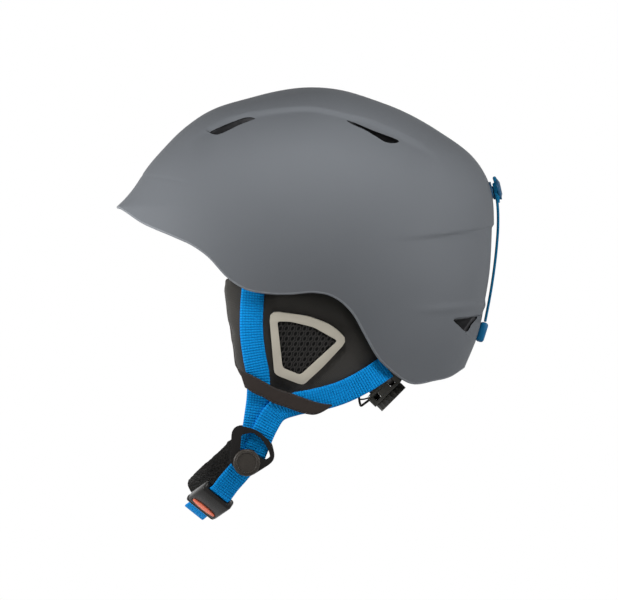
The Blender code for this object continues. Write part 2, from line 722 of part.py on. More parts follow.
def ear_frame_placing(lift):
    """Frame whose XY plane lies a lift above the flat of the left ear pad, with X to the rear and Y up."""
    up = Vector((0, -EAR_SLOPE, 1)).normalized()
    outward = Vector((1, 0, 0)).cross(up)
    origin = Vector((0, -EAR_OUT, EAR_TOP)) + outward * lift
    return frame_from((1, 0, 0), up, origin)


def on_ear_plane(outline):
    """Side drawing as coordinates of the ear pad's tilted plane."""
    stretch = math.sqrt(1 + EAR_SLOPE ** 2)
    return [(x, (z - EAR_TOP) * stretch) for x, z in drawn(outline)]


def build_ear_frame():
    outer = rounded(on_ear_plane(FRAME_OUTER), [corner * MM for corner in FRAME_CORNERS])
    inner = rounded(on_ear_plane(FRAME_INNER), FRAME_INNER_CORNER * MM)
    placing = ear_frame_placing(FIT_GAP + FRAME_THICKNESS / 2)
    return plate("ear_frame_left", [outer, inner], FRAME_THICKNESS, placing, FRAME_FINISH)


def build_ear_mesh():
    """Open mesh set in the frame, with slanted holes in staggered rows."""
    edge = inset_outline(rounded(on_ear_plane(FRAME_INNER), FRAME_INNER_CORNER * MM), FIT_GAP)
    clear = inset_outline(edge, MESH_PITCH / 2)
    placing = ear_frame_placing(FIT_GAP + FRAME_THICKNESS / 2)
    panel = plate("ear_mesh_left", [edge], MESH_THICKNESS, placing, MESH_CLOTH)
    turn = Matrix.Rotation(MESH_SLANT, 2)
    lowest = min(y for _, y in edge)
    highest = max(y for _, y in edge)
    first = min(x for x, _ in edge)
    last = max(x for x, _ in edge)
    bm = bmesh.new()
    row = 0
    y = lowest
    while y < highest:
        x = first + (row % 2) * MESH_PITCH / 2
        while x < last:
            if inside(clear, x, y):
                ring = [turn @ Vector((MESH_HOLE[0] * math.cos(a), MESH_HOLE[1] * math.sin(a)))
                        for a in np.linspace(0, 2 * math.pi, 6, endpoint=False)]
                spots = [bm.verts.new((x + v.x, y + v.y, -MESH_THICKNESS)) for v in ring]
                face = bm.faces.new(spots)
                pulled = bmesh.ops.extrude_face_region(bm, geom=[face])["geom"]
                moved = [item for item in pulled if isinstance(item, bmesh.types.BMVert)]
                bmesh.ops.translate(bm, verts=moved, vec=(0, 0, 2 * MESH_THICKNESS))
            x += MESH_PITCH
        y += MESH_PITCH * 0.8
        row += 1
    bmesh.ops.recalc_face_normals(bm, faces=bm.faces)
    holes = finish_mesh("ear_mesh_holes", bm, MESH_CLOTH, CUTTERS)
    holes.matrix_world = placing
    cut(panel, holes)
    return panel


FRONT_LIFT = FIT_GAP
REAR_LIFT = FRONT_LIFT + STRAP_THICKNESS + FIT_GAP
BAND_LIFT = REAR_LIFT + STRAP_THICKNESS + FIT_GAP
STUD_X = STUD_CENTRE[0] * X_SCALE
STUD_Z = drawn_height(STUD_CENTRE[1])
HANG_OUT = ear_out(EAR_FLAT_MIDDLE, STUD_Z)
RING_IN = HANG_OUT + BAND_LIFT
CHIN_OUT = HANG_OUT + FRONT_LIFT - FIT_GAP - STRAP_THICKNESS / 2


def build_webbing():
    pieces = [
        strap("front_strap_left", FRONT_STRAP, FRONT_LIFT),
        strap("rear_strap_left", REAR_STRAP, REAR_LIFT),
        anchor("front_anchor_left", FRONT_ANCHOR_X, REAR_LIFT),
        anchor("rear_anchor_left", REAR_ANCHOR_X, BAND_LIFT),
    ]
    upper = [point.to_tuple() for point in smooth_route(drawn(BAND_UPPER), 10)]
    lower = [point.to_tuple() for point in smooth_route(drawn(BAND_LOWER), 10)]
    pieces.append(strip("ear_band_left", upper, lower, BAND_LIFT, BAND_THICKNESS, BINDING))
    return pieces


def build_ring_and_stud():
    """Divider with a slot for the webbing, and the riveted stud on which the chin webbing turns."""
    placing = frame_from((1, 0, 0), (0, 0, 1), (0, -RING_IN - RING_THICKNESS / 2, 0))
    bore = [(STUD_X + (STUD_SHANK_RADIUS + STUD_RUNNING_GAP) * math.cos(a),
             STUD_Z + (STUD_SHANK_RADIUS + STUD_RUNNING_GAP) * math.sin(a))
            for a in np.linspace(0, 2 * math.pi, ROUND_STEPS, endpoint=False)]
    outer = rounded(drawn(RING_OUTER), RING_CORNER * MM)
    slot = rounded(drawn(RING_SLOT), SLOT_CORNER * MM)
    ring = plate("strap_ring_left", [outer, slot, bore], RING_THICKNESS, placing, BLACK_PLASTIC)
    cap_under = RING_IN + RING_THICKNESS + FIT_GAP
    head_over = CHIN_OUT - STRAP_THICKNESS / 2 - FIT_GAP
    rim_round = STUD_CAP_THICKNESS / 2
    profile = [
        (0, cap_under + STUD_CAP_THICKNESS),
        (STUD_CAP_RADIUS - rim_round, cap_under + STUD_CAP_THICKNESS),
        (STUD_CAP_RADIUS, cap_under + STUD_CAP_THICKNESS - rim_round),
        (STUD_CAP_RADIUS, cap_under),
        (STUD_SHANK_RADIUS, cap_under),
        (STUD_SHANK_RADIUS, head_over),
        (STUD_HEAD_RADIUS, head_over),
        (STUD_HEAD_RADIUS, head_over - STUD_HEAD_THICKNESS),
        (0, head_over - STUD_HEAD_THICKNESS),
    ]
    axis = frame_from((1, 0, 0), (0, 0, 1), (STUD_X, 0, STUD_Z))
    stud = turned("ring_stud_left", profile, axis, BLACK_PLASTIC)
    return [ring, stud]


def build_sides():
    """Left-hand pieces and their right-hand twins."""
    left = [build_ear_pad(), build_ear_frame(), build_ear_mesh()]
    left += build_webbing()
    left += build_ring_and_stud()
    for piece in left:
        mirrored(piece, piece.name.replace("_left", "_right"))


def ribbon(name, route, across, width, thickness, material, taper=None):
    """Flat band along a route of points, with the direction across it at each point."""
    rings = []
    for i, point in enumerate(route):
        along = (route[min(i + 1, len(route) - 1)] - route[max(i - 1, 0)]).normalized()
        side = (across[i] - along * across[i].dot(along)).normalized()
        normal = along.cross(side)
        full = taper[i] if taper else 1.0
        half_width = side * width / 2 * (0.6 + 0.4 * full)
        half_depth = normal * thickness / 2
        if taper:
            crown = half_depth * (0.45 + 0.55 * full)
            edge = half_depth * 0.45 * full
            inner = half_width * 0.62
            rings.append([point - half_width - edge, point - inner - crown, point + inner - crown,
                          point + half_width - edge, point + half_width + edge, point + inner + crown,
                          point - inner + crown, point - half_width + edge])
        else:
            rings.append([point - half_width - half_depth, point + half_width - half_depth,
                          point + half_width + half_depth, point - half_width + half_depth])
    return solid_from_rings(name, rings, material)


CHIN_DOWN = Vector((CHIN_RUN[0][0] - STUD_CENTRE[0], 0, CHIN_RUN[0][1] - STUD_CENTRE[1])).normalized()
STUD_ACROSS = Vector((-CHIN_DOWN.z, 0, CHIN_DOWN.x))
BUCKLE_FRAME = frame_from(
    BUCKLE_AXIS, BUCKLE_ACROSS,
    (CHIN_ENTRY[0] * X_SCALE, -(CHIN_OUT - CHIN_ENTRY[2] * Y_SCALE), drawn_height(CHIN_ENTRY[1])))


def in_buckle(along, across, out):
    """World point of a place in the buckle; the last number points out of its face."""
    return BUCKLE_FRAME @ Vector((along, across, out))


def buckle_box(name, low, high, material, rounding=0.0, collection=PARTS):
    """Box in the buckle: along it, across it and out of its face."""
    return box(name, low, high, BUCKLE_FRAME, material, rounding, collection)


def chin_stud_points(side):
    """Start of the chin webbing: above the stud, and then the points that follow it down."""
    stud = Vector((STUD_X, side * CHIN_OUT, STUD_Z))
    points = [stud - CHIN_DOWN * CHIN_STRAP_TOP, stud]
    for x, z, inward in CHIN_RUN:
        points.append(Vector((x * X_SCALE, side * (CHIN_OUT - inward * Y_SCALE), drawn_height(z))))
    return points


def blended_across(route, last):
    """Directions across a band that turn evenly from the stud's to another."""
    count = 0.75 * (len(route) - 1)
    return [STUD_ACROSS.lerp(last, min(i / count, 1.0)) for i in range(len(route))]


def stud_hole(name, side):
    """Cutter for the stud's hole in the chin webbing."""
    reach = 4 * STRAP_THICKNESS
    radius = STUD_SHANK_RADIUS + STUD_RUNNING_GAP
    profile = [(0, reach), (radius, reach), (radius, -reach), (0, -reach)]
    axis = frame_from((1, 0, 0), (0, 0, 1), (STUD_X, side * CHIN_OUT, STUD_Z))
    return turned(name, profile, axis, WEBBING, CUTTERS)


def build_chin_strap():
    """Both halves of the chin webbing, and the fleece pad on the right-hand half."""
    across_buckle = BUCKLE_FRAME.to_3x3() @ Vector((0, 1, 0))
    lead_in = [in_buckle(-STRAP_LEAD, 0, 0), in_buckle(0, 0, 0), in_buckle(STRAP_SEAT - FIT_GAP, 0, 0)]
    route = smooth_route(chin_stud_points(-1) + lead_in, 16)
    left_across = blended_across(route, across_buckle)
    left = ribbon("chin_strap_left", route, left_across, STRAP_WIDTH, STRAP_THICKNESS,
                  WEBBING)
    cut(left, stud_hole("left_stud_hole", -1))
    tongue_end = BUCKLE_LENGTH + FIT_GAP + TONGUE_HEAD_LENGTH
    crossing = [Vector((x * X_SCALE, y * Y_SCALE, drawn_height(z))) for x, y, z in reversed(CHIN_CROSS)]
    points = chin_stud_points(1)[:-1] + crossing
    points += [in_buckle(tongue_end + STRAP_LEAD, 0, 0), in_buckle(tongue_end - STRAP_SEAT + FIT_GAP, 0, 0)]
    route = smooth_route(points, 30)
    across = blended_across(route, across_buckle)
    right = ribbon("chin_strap_right", route, across, STRAP_WIDTH, STRAP_THICKNESS, WEBBING)
    cut(right, stud_hole("right_stud_hole", 1))
    return [left, right, build_chin_pad(points)]


def build_chin_pad(points):
    """Fleece pad inside the right-hand webbing, set forward of it, crowned and drawn in at its ends."""
    start = points[0] + (points[0] - points[1]).normalized() * (CHIN_PAD_TOP - CHIN_STRAP_TOP)
    route = smooth_route([start] + points[1:], 60)
    travel = np.cumsum([0.0] + [(b - a).length for a, b in zip(route, route[1:])])
    count = 12
    middle_line = []
    across = []
    for place in np.linspace(0, CHIN_PAD_END, count):
        i = min(int(np.searchsorted(travel, place)), len(route) - 2)
        along = (route[i + 1] - route[max(i - 1, 0)]).normalized()
        side = STUD_ACROSS - along * STUD_ACROSS.dot(along)
        inward = along.cross(side).normalized()
        if inward.y > 0:
            inward = -inward
        sunk = STRAP_THICKNESS / 2 + FIT_GAP + STUD_HEAD_THICKNESS + FIT_GAP + CHIN_PAD_THICKNESS / 2
        middle_line.append(route[i] + inward * sunk - side.normalized() * CHIN_PAD_FORWARD)
        across.append(side)
    taper = [math.sqrt(max(1 - abs(2 * i / (count - 1) - 1) ** 4, 0.0)) for i in range(count)]
    return ribbon("chin_pad", middle_line, across, CHIN_PAD_WIDTH, CHIN_PAD_THICKNESS, FLEECE, taper)


def build_buckle():
    """Side-release housing with a pocket for the tongue and a sunk button over a leaf spring."""
    half_width = BUCKLE_WIDTH / 2
    half_depth = BUCKLE_DEPTH / 2
    housing = buckle_box("buckle_housing", (0, -half_width, -half_depth),
                         (BUCKLE_LENGTH, half_width, half_depth), BLACK_PLASTIC, BUCKLE_ROUNDING)
    gap = TONGUE_RUNNING_GAP
    pocket_half = TONGUE_WIDTH / 2 + gap
    pocket_rise = TONGUE_THICKNESS / 2 + gap
    floor = BUCKLE_LENGTH - TONGUE_REACH - gap
    beyond = BUCKLE_LENGTH + BUCKLE_DEPTH
    cut(housing, buckle_box("tongue_pocket", (floor, -pocket_half, -pocket_rise),
                            (beyond, pocket_half, pocket_rise), BLACK_PLASTIC, collection=CUTTERS))
    seat_half = STRAP_WIDTH / 2 + FIT_GAP
    seat_rise = STRAP_THICKNESS / 2 + FIT_GAP
    cut(housing, buckle_box("strap_slot", (-BUCKLE_DEPTH, -seat_half, -seat_rise),
                            (STRAP_SEAT, seat_half, seat_rise), BLACK_PLASTIC, collection=CUTTERS))
    button_middle = BUCKLE_LENGTH - BUTTON_FROM_END - BUTTON_WIDTH / 2
    button_floor = half_depth + BUTTON_PROUD - BUTTON_THICKNESS
    well_floor = button_floor - BUTTON_TRAVEL - FIT_GAP
    well = oval(BUTTON_WIDTH / 2 + FIT_GAP, BUTTON_LENGTH / 2 + FIT_GAP)
    well_placing = BUCKLE_FRAME @ Matrix.Translation((button_middle, 0, well_floor + BUCKLE_DEPTH))
    cut(housing, plate("button_well", [well], 2 * BUCKLE_DEPTH, well_placing, BLACK_PLASTIC, CUTTERS))
    button_level = button_floor + BUTTON_THICKNESS / 2
    button_placing = BUCKLE_FRAME @ Matrix.Translation((button_middle, 0, button_level))
    button_edge = oval(BUTTON_WIDTH / 2, BUTTON_LENGTH / 2)
    button = plate("release_button", [button_edge], BUTTON_THICKNESS, button_placing, BUTTON_FINISH)
    spring = build_spring(button_middle, well_floor, button_floor)
    tongue_root = BUCKLE_LENGTH + FIT_GAP
    tongue = buckle_box("buckle_tongue", (floor + gap, -TONGUE_WIDTH / 2, -TONGUE_THICKNESS / 2),
                        (tongue_root + TONGUE_HEAD_LENGTH / 2, TONGUE_WIDTH / 2, TONGUE_THICKNESS / 2),
                        BLACK_PLASTIC)
    head = buckle_box("tongue_head", (tongue_root, -half_width, -half_depth * 0.7),
                      (tongue_root + TONGUE_HEAD_LENGTH, half_width, half_depth * 0.7), BLACK_PLASTIC,
                      BUCKLE_ROUNDING, CUTTERS)
    join = tongue.modifiers.new("head", "BOOLEAN")
    join.object = head
    join.operation = "UNION"
    head.hide_render = True
    head.display_type = "WIRE"
    slot_end = tongue_root + TONGUE_HEAD_LENGTH
    cut(tongue, buckle_box("tongue_strap_slot", (slot_end - STRAP_SEAT, -seat_half, -seat_rise),
                           (slot_end + BUCKLE_DEPTH, seat_half, seat_rise), BLACK_PLASTIC,
                           collection=CUTTERS))
    return [housing, spring], button, tongue, button_placing


def oval(half_width, half_length):
    """Oval outline, longer along Y."""
    return [(half_width * math.cos(a), half_length * math.sin(a))
            for a in np.linspace(0, 2 * math.pi, ROUND_STEPS, endpoint=False)]


def build_spring(middle, floor, ceiling):
    """Bowed leaf that rests on the well's floor at its ends and carries the button on its crown."""
    rise = ceiling - floor - 2 * FIT_GAP - SPRING_THICKNESS
    rings = []
    for share in np.linspace(-1, 1, 9):
        height = floor + FIT_GAP + rise * (1 - share ** 2)
        across = share * SPRING_LENGTH / 2
        rings.append([in_buckle(middle - SPRING_WIDTH / 2, across, height),
                      in_buckle(middle + SPRING_WIDTH / 2, across, height),
                      in_buckle(middle + SPRING_WIDTH / 2, across, height + SPRING_THICKNESS),
                      in_buckle(middle - SPRING_WIDTH / 2, across, height + SPRING_THICKNESS)])
    return solid_from_rings("release_spring", rings, SPRING_STEEL)


FIT_OUTWARD = Vector((math.cos(FIT_LEAN), 0, -math.sin(FIT_LEAN)))
FIT_UPWARD = Vector((math.sin(FIT_LEAN), 0, math.cos(FIT_LEAN)))
FIT_ORIGIN = Vector((FIT_CENTRE[0] * X_SCALE, 0, drawn_height(FIT_CENTRE[1])))
FIT_FRAME = frame_from((0, 1, 0), FIT_UPWARD, FIT_ORIGIN)
FIT_COVER_TOP = FIT_BASE_THICKNESS + FIT_GAP + FIT_ROOM + FIT_COVER_WALL
BAND_MIDDLE = FIT_BASE_THICKNESS + FIT_ROOM - FIT_BAND_THICKNESS / 2
EAR_PAD_IN = ear_out(EAR_FLAT_MIDDLE, drawn_height(BAND_LEVEL)) - EAR_PAD_THICKNESS
BAND_RADIUS = EAR_PAD_IN - BAND_ROOM - FIT_BAND_THICKNESS / 2
BAND_CENTRE = BAND_MIDDLE - BAND_RADIUS


def fit_point(angle, radius, height):
    """World point of a place on a fit band: angle from the dial towards the left, radius and height."""
    outward = BAND_CENTRE + radius * math.cos(angle)
    return FIT_FRAME @ Vector((-radius * math.sin(angle), height, outward))


def build_fit_band(name, side):
    """Band with a rack past the pinion; the left-hand rack runs above it and the right-hand one below."""
    rings = []
    near = PINION_RADIUS + FIT_GAP
    turns = list(np.linspace(-RACK_REACH, RACK_END, 8))
    turns += list(np.linspace(FIT_BAND_START, FIT_BAND_END, 9))
    for angle in turns:
        low = near
        high = near + RACK_HEIGHT
        if angle > RACK_END:
            low = -FIT_BAND_HALF_HEIGHT
            high = FIT_BAND_HALF_HEIGHT
        inner = BAND_RADIUS - FIT_BAND_THICKNESS / 2
        outer = BAND_RADIUS + FIT_BAND_THICKNESS / 2
        turn = angle * side
        rings.append([fit_point(turn, inner, low * side), fit_point(turn, outer, low * side),
                      fit_point(turn, outer, high * side), fit_point(turn, inner, high * side)])
    return solid_from_rings(name, rings, BLACK_PLASTIC)


def hanger_reach():
    """Height above the dial at which the hanger's outer face meets the liner's inner side."""
    inset = SHELL_WALL + SKIN_GAP + LINER_THICKNESS
    high = BRIM_CREASE_DEPTH
    low = RIM_DEPTHS[0] - SKIRT_DEPTH
    for _ in range(40):
        middle = (high + low) / 2
        point = shell_point(0.0, middle) - inset * shell_normal(0.0, middle)
        place = FIT_FRAME.inverted() @ point
        if place.z < HANGER_THICKNESS:
            high = middle
        else:
            low = middle
    return place.y


def build_fit_system():
    half_length = FIT_LENGTH / 2
    half_height = FIT_HEIGHT / 2
    base = box("fit_base", (-half_length, -half_height, 0), (half_length, half_height, FIT_BASE_THICKNESS),
               FIT_FRAME, BLACK_PLASTIC)
    cover_bottom = FIT_BASE_THICKNESS + FIT_GAP
    cover = box("fit_cover", (-half_length, -half_height, cover_bottom),
                (half_length, half_height, FIT_COVER_TOP), FIT_FRAME, BLACK_PLASTIC)
    room_half = half_height - FIT_COVER_WALL
    room_length = half_length - FIT_COVER_WALL
    cut(cover, box("fit_room", (-room_length, -room_half, -FIT_ROOM),
                   (room_length, room_half, cover_bottom + FIT_ROOM), FIT_FRAME, BLACK_PLASTIC,
                   collection=CUTTERS))
    rack_low = PINION_RADIUS
    rack_high = PINION_RADIUS + 2 * FIT_GAP + RACK_HEIGHT
    slots = (("upper_rack_slot", rack_low, rack_high), ("lower_rack_slot", -rack_high, -rack_low))
    for name, low, high in slots:
        cut(cover, box(name, (-FIT_LENGTH, low, -FIT_ROOM), (FIT_LENGTH, high, BAND_MIDDLE), FIT_FRAME,
                       BLACK_PLASTIC, collection=CUTTERS))
    bore = PINION_SHAFT_RADIUS + STUD_RUNNING_GAP
    bore_profile = [(0, 2 * FIT_COVER_TOP), (bore, 2 * FIT_COVER_TOP), (bore, 0), (0, 0)]
    cut(cover, turned("fit_bore", bore_profile, FIT_FRAME, BLACK_PLASTIC, CUTTERS))
    wheel_top = cover_bottom + FIT_ROOM - FIT_GAP
    wheel_bottom = wheel_top - PINION_THICKNESS
    pinion_profile = [
        (0, FIT_COVER_TOP),
        (PINION_SHAFT_RADIUS, FIT_COVER_TOP),
        (PINION_SHAFT_RADIUS, wheel_top),
        (PINION_RADIUS, wheel_top),
        (PINION_RADIUS, wheel_bottom),
        (PINION_SHAFT_RADIUS, wheel_bottom),
        (PINION_SHAFT_RADIUS, cover_bottom),
        (0, cover_bottom),
    ]
    pinion = turned("fit_pinion", pinion_profile, FIT_FRAME, BLACK_PLASTIC)
    ribs = []
    for i in range(2 * DIAL_RIBS):
        angle = math.pi * i / DIAL_RIBS
        radius = DIAL_RADIUS - (i % 2) * DIAL_RIB_DEPTH
        ribs.append((radius * math.cos(angle), radius * math.sin(angle)))
    dial_middle = FIT_COVER_TOP + FIT_GAP + DIAL_THICKNESS / 2
    dial_placing = FIT_FRAME @ Matrix.Translation((0, 0, dial_middle))
    dial = plate("fit_dial", [ribs], DIAL_THICKNESS, dial_placing, BLACK_PLASTIC)
    hinge_empty("fit_dial_axis", FIT_FRAME, [dial, pinion])
    bands = [build_fit_band("fit_band_left", 1), build_fit_band("fit_band_right", -1)]
    hinge_empty("fit_band_axis", FIT_FRAME @ Matrix.Translation((0, 0, BAND_CENTRE)), bands)
    build_fit_screws(base)
    build_hanger(half_height)


def build_fit_screws(base):
    """Screws from the head side through the base, with their tips in bosses that stand under the cover."""
    for name, side in (("fit_screw_left", -1), ("fit_screw_right", 1)):
        from_middle = FIT_HEIGHT / 2 - FIT_COVER_WALL - SCREW_HEAD_RADIUS
        spot = FIT_FRAME @ Matrix.Translation((0, side * from_middle, 0))
        hole = SCREW_RADIUS + STUD_RUNNING_GAP
        hole_profile = [(0, FIT_ROOM), (hole, FIT_ROOM), (hole, -FIT_ROOM), (0, -FIT_ROOM)]
        cut(base, turned(name + "_hole", hole_profile, spot, BLACK_PLASTIC, CUTTERS))
        tip = FIT_BASE_THICKNESS + FIT_GAP + SCREW_BITE
        head_end = -FIT_GAP - SCREW_HEAD_THICKNESS
        profile = [(0, tip), (SCREW_RADIUS, tip), (SCREW_RADIUS, -FIT_GAP), (SCREW_HEAD_RADIUS, -FIT_GAP),
                   (SCREW_HEAD_RADIUS, head_end), (0, head_end)]
        turned(name, profile, spot, SPRING_STEEL)


def build_hanger(half_height):
    """Yoke that carries the fit system, from the top of its base to the inside of the liner."""
    bottom = half_height + FIT_GAP
    top = hanger_reach() - HANGER_STOP
    outline = [(-HANGER_WIDTH / 2, bottom), (HANGER_WIDTH / 2, bottom), (HANGER_TOP_WIDTH / 2, top),
               (-HANGER_TOP_WIDTH / 2, top)]
    placing = FIT_FRAME @ Matrix.Translation((0, 0, HANGER_THICKNESS / 2))
    plate("fit_hanger", [outline], HANGER_THICKNESS, placing, BLACK_PLASTIC)


def on_rear(depth, lift):
    """World point on the middle line of the shell's rear, a lift off the surface."""
    return shell_point(0.0, depth) + shell_normal(0.0, depth) * lift


def on_rear_facet(depth):
    """Placing matrix on the flat facet at the rear: X to the right, Y up the shell and Z outwards."""
    row = 1
    while grid_depth(row + 1, 0) < depth:
        row += 1
    upper = shell_point(0.0, grid_depth(row, 0))
    lower = shell_point(0.0, grid_depth(row + 1, 0))
    share = (CROWN_TOP - depth - upper.z) / (lower.z - upper.z)
    up = (upper - lower).normalized()
    outward = Vector((0, 1, 0)).cross(up)
    return frame_from((0, 1, 0), up, upper.lerp(lower, share) + outward * FIT_GAP)


def build_retainer():
    """Hook and clip on the back of the shell, and the elastic loop that is stretched between them."""
    placing = on_rear_facet(HOOK_DEPTH * Z_SCALE)
    stem_top = HOOK_FLANGE_THICKNESS + HOOK_STEM_LENGTH
    cap_top = stem_top + HOOK_CAP_THICKNESS
    profile = [
        (0, cap_top),
        (HOOK_CAP_RADIUS * 0.6, cap_top),
        (HOOK_CAP_RADIUS, stem_top + HOOK_CAP_THICKNESS / 2),
        (HOOK_CAP_RADIUS, stem_top),
        (HOOK_STEM_RADIUS, stem_top),
        (HOOK_STEM_RADIUS, HOOK_FLANGE_THICKNESS),
        (HOOK_FLANGE_RADIUS, HOOK_FLANGE_THICKNESS),
        (HOOK_FLANGE_RADIUS, 0),
        (0, 0),
    ]
    turned("retainer_hook", profile, placing, BLUE_PLASTIC)
    clip_placing = on_rear_facet(RETAINER_DEPTH * Z_SCALE)
    half_width = RETAINER_WIDTH / 2
    half_length = RETAINER_LENGTH / 2
    box("retainer_anchor", (-half_width, -half_length, 0), (half_width, half_length, RETAINER_THICKNESS),
        clip_placing, BLUE_PLASTIC, RETAINER_THICKNESS / 3)
    cord = build_retainer_cord(placing, clip_placing)
    loop_end = clip_placing @ Vector((0, RETAINER_LENGTH / 2, 0))
    hinge_empty("retainer_axis", Matrix.Translation(loop_end), [cord])


def build_retainer_cord(hook_placing, clip_placing):
    """Elastic loop: up one strand, round the hook's stem and down the other."""
    round_stem = HOOK_STEM_RADIUS + FIT_GAP + CORD_RADIUS
    mid_stem = HOOK_FLANGE_THICKNESS + HOOK_STEM_LENGTH / 2
    foot = clip_placing @ Vector((0, RETAINER_LENGTH / 2 + FIT_GAP, RETAINER_THICKNESS / 2))
    side_line = [foot]
    foot_depth = RETAINER_DEPTH * Z_SCALE - RETAINER_LENGTH / 2
    for share in (0.3, 0.55, 0.8, 1.0):
        depth = foot_depth + (CORD_TOP_DEPTH * Z_SCALE - foot_depth) * share
        side_line.append(on_rear(depth, CORD_RADIUS + CORD_LIFT))
    side_line.append(hook_placing @ Vector((0, -round_stem * 1.2, mid_stem)))
    side_line.append(hook_placing @ Vector((0, 0, mid_stem)))
    strand = smooth_route(side_line, 24)
    aside = Vector((0, round_stem, 0))
    points = [point - aside for point in strand]
    for angle in np.linspace(math.pi, 0, 9)[1:-1]:
        spot = Vector((round_stem * math.cos(angle), round_stem * math.sin(angle), mid_stem))
        points.append(hook_placing @ spot)
    points += [point + aside for point in reversed(strand)]
    curve = bpy.data.curves.new("retainer_cord", "CURVE")
    curve.dimensions = "3D"
    curve.bevel_depth = CORD_RADIUS
    curve.bevel_resolution = 2
    curve.use_fill_caps = True
    spline = curve.splines.new("POLY")
    spline.points.add(len(points) - 1)
    for spot, point in zip(spline.points, points):
        spot.co = (*point, 1)
    return solid_from_curve("retainer_cord", curve, Matrix.Identity(4), CORD_FINISH, PARTS)


build_shell_and_liner()
build_comfort_pads()
build_sides()
chin_pieces = build_chin_strap()
housing_pieces, button_piece, tongue_piece, button_frame = build_buckle()
hinge_empty("chin_axis", Matrix.Translation((STUD_X, 0, STUD_Z)), chin_pieces + housing_pieces)
hinge_empty("tongue_slide", BUCKLE_FRAME.copy(), [tongue_piece])
hinge_empty("button_slide", button_frame, [button_piece])
build_fit_system()
build_retainer()
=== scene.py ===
"""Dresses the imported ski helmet: shell skin, padding, webbing, buckle, fit dial and goggle retainer."""

import math

import bmesh
import bpy
import numpy as np
from bpy.props import FloatProperty, FloatVectorProperty, IntProperty, PointerProperty
from mathutils import Matrix, Vector


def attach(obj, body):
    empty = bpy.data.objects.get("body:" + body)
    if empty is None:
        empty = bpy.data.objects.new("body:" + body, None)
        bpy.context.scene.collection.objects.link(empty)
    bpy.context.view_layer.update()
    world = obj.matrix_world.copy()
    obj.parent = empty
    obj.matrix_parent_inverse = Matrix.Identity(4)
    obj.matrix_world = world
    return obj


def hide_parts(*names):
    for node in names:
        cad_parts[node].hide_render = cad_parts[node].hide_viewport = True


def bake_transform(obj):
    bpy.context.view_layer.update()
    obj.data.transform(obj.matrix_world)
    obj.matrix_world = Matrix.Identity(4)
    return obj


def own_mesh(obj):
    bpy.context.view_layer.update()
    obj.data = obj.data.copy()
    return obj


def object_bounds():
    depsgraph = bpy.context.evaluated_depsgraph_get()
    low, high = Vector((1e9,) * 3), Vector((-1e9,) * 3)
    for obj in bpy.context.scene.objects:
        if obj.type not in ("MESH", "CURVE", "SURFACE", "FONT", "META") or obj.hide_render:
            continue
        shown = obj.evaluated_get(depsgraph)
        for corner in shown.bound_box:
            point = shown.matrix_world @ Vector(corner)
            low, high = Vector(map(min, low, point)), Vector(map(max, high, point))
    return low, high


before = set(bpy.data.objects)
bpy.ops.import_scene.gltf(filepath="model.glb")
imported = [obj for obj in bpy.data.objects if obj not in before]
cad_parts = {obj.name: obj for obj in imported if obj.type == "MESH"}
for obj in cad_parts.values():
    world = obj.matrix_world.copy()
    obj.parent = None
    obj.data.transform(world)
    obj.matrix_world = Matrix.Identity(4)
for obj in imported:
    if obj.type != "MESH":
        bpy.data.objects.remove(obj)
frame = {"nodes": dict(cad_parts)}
CAD_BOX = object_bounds()

bl_info = {
    "name": "Ski helmet",
    "version": (1, 0, 0),
    "blender": (4, 5, 0),
    "location": "View3D > Sidebar > Helmet",
    "description": "Dresses a packed ski helmet with its shell skin, padding, webbing and fittings",
    "category": "Object",
}

MM = 0.001

# The side drawing, in millimetres, as in the part's source
CROWN_TOP = 37.8
APEX_X = -6.0
FRONT_PROFILE = [(0, 0), (2.8, 26.1), (8.3, 48.4), (14.6, 70.0), (29.7, 95.5), (44.7, 111.2), (67.2, 129.5),
                 (90.5, 140.0), (112.8, 146.0), (157.8, 146.0), (227.8, 136.0)]
REAR_PROFILE = [(0, 0), (1.4, 18.0), (9.4, 46.5), (17.7, 68.0), (33.3, 96.0), (52.8, 122.0), (73.5, 134.6),
                (102.4, 138.2), (126.0, 136.6), (158.6, 132.0), (191.4, 124.8), (212.8, 116.0),
                (227.8, 110.0)]
SIDE_PROFILE = [(0, 0), (7.8, 42.0), (17.8, 62.0), (32.8, 80.0), (52.8, 94.0), (77.8, 103.0), (112.8, 107.0),
                (155.8, 105.0), (187.8, 101.0), (227.8, 95.0)]
RIM = [(-160.0, -51.0), (-154.3, -52.7), (-135.5, -64.5), (-111.9, -74.9), (-96.3, -82.2), (-84.5, -90.7),
       (-70.1, -106.2), (-58.5, -114.1), (-41.0, -118.3), (-22.8, -118.9), (-3.4, -117.7), (8.7, -120.2),
       (19.6, -127.4), (26.9, -135.9), (34.2, -149.2), (43.9, -166.2), (54.7, -177.1), (68.4, -186.2),
       (87.3, -184.5), (99.9, -181.3), (110.0, -175.0), (120.0, -170.0)]

# Flare of the brim, by depth below the crown
CREASE_DEPTH = 67.0
TIP_DEPTH = 90.5
BRIM_REACH = 8.3
BRIM_CURL = 2.2

# Shell skin: how its facets crowd at the sides and the crown, how its rim is found and its normals are taken
COLUMN_SHIFT = 0.2
ROW_SPACING = 1.5
RIM_HALVINGS = 40
APEX_FLAT = 0.1
NORMAL_STEP = 0.5
NORMAL_TURN = 0.01
SHELL_SHARP_ANGLE = math.radians(34.0)

# Rounded edge along the rim, in shares of the wall
LIP_INSET = 0.42
LIP_RADIUS = 0.46

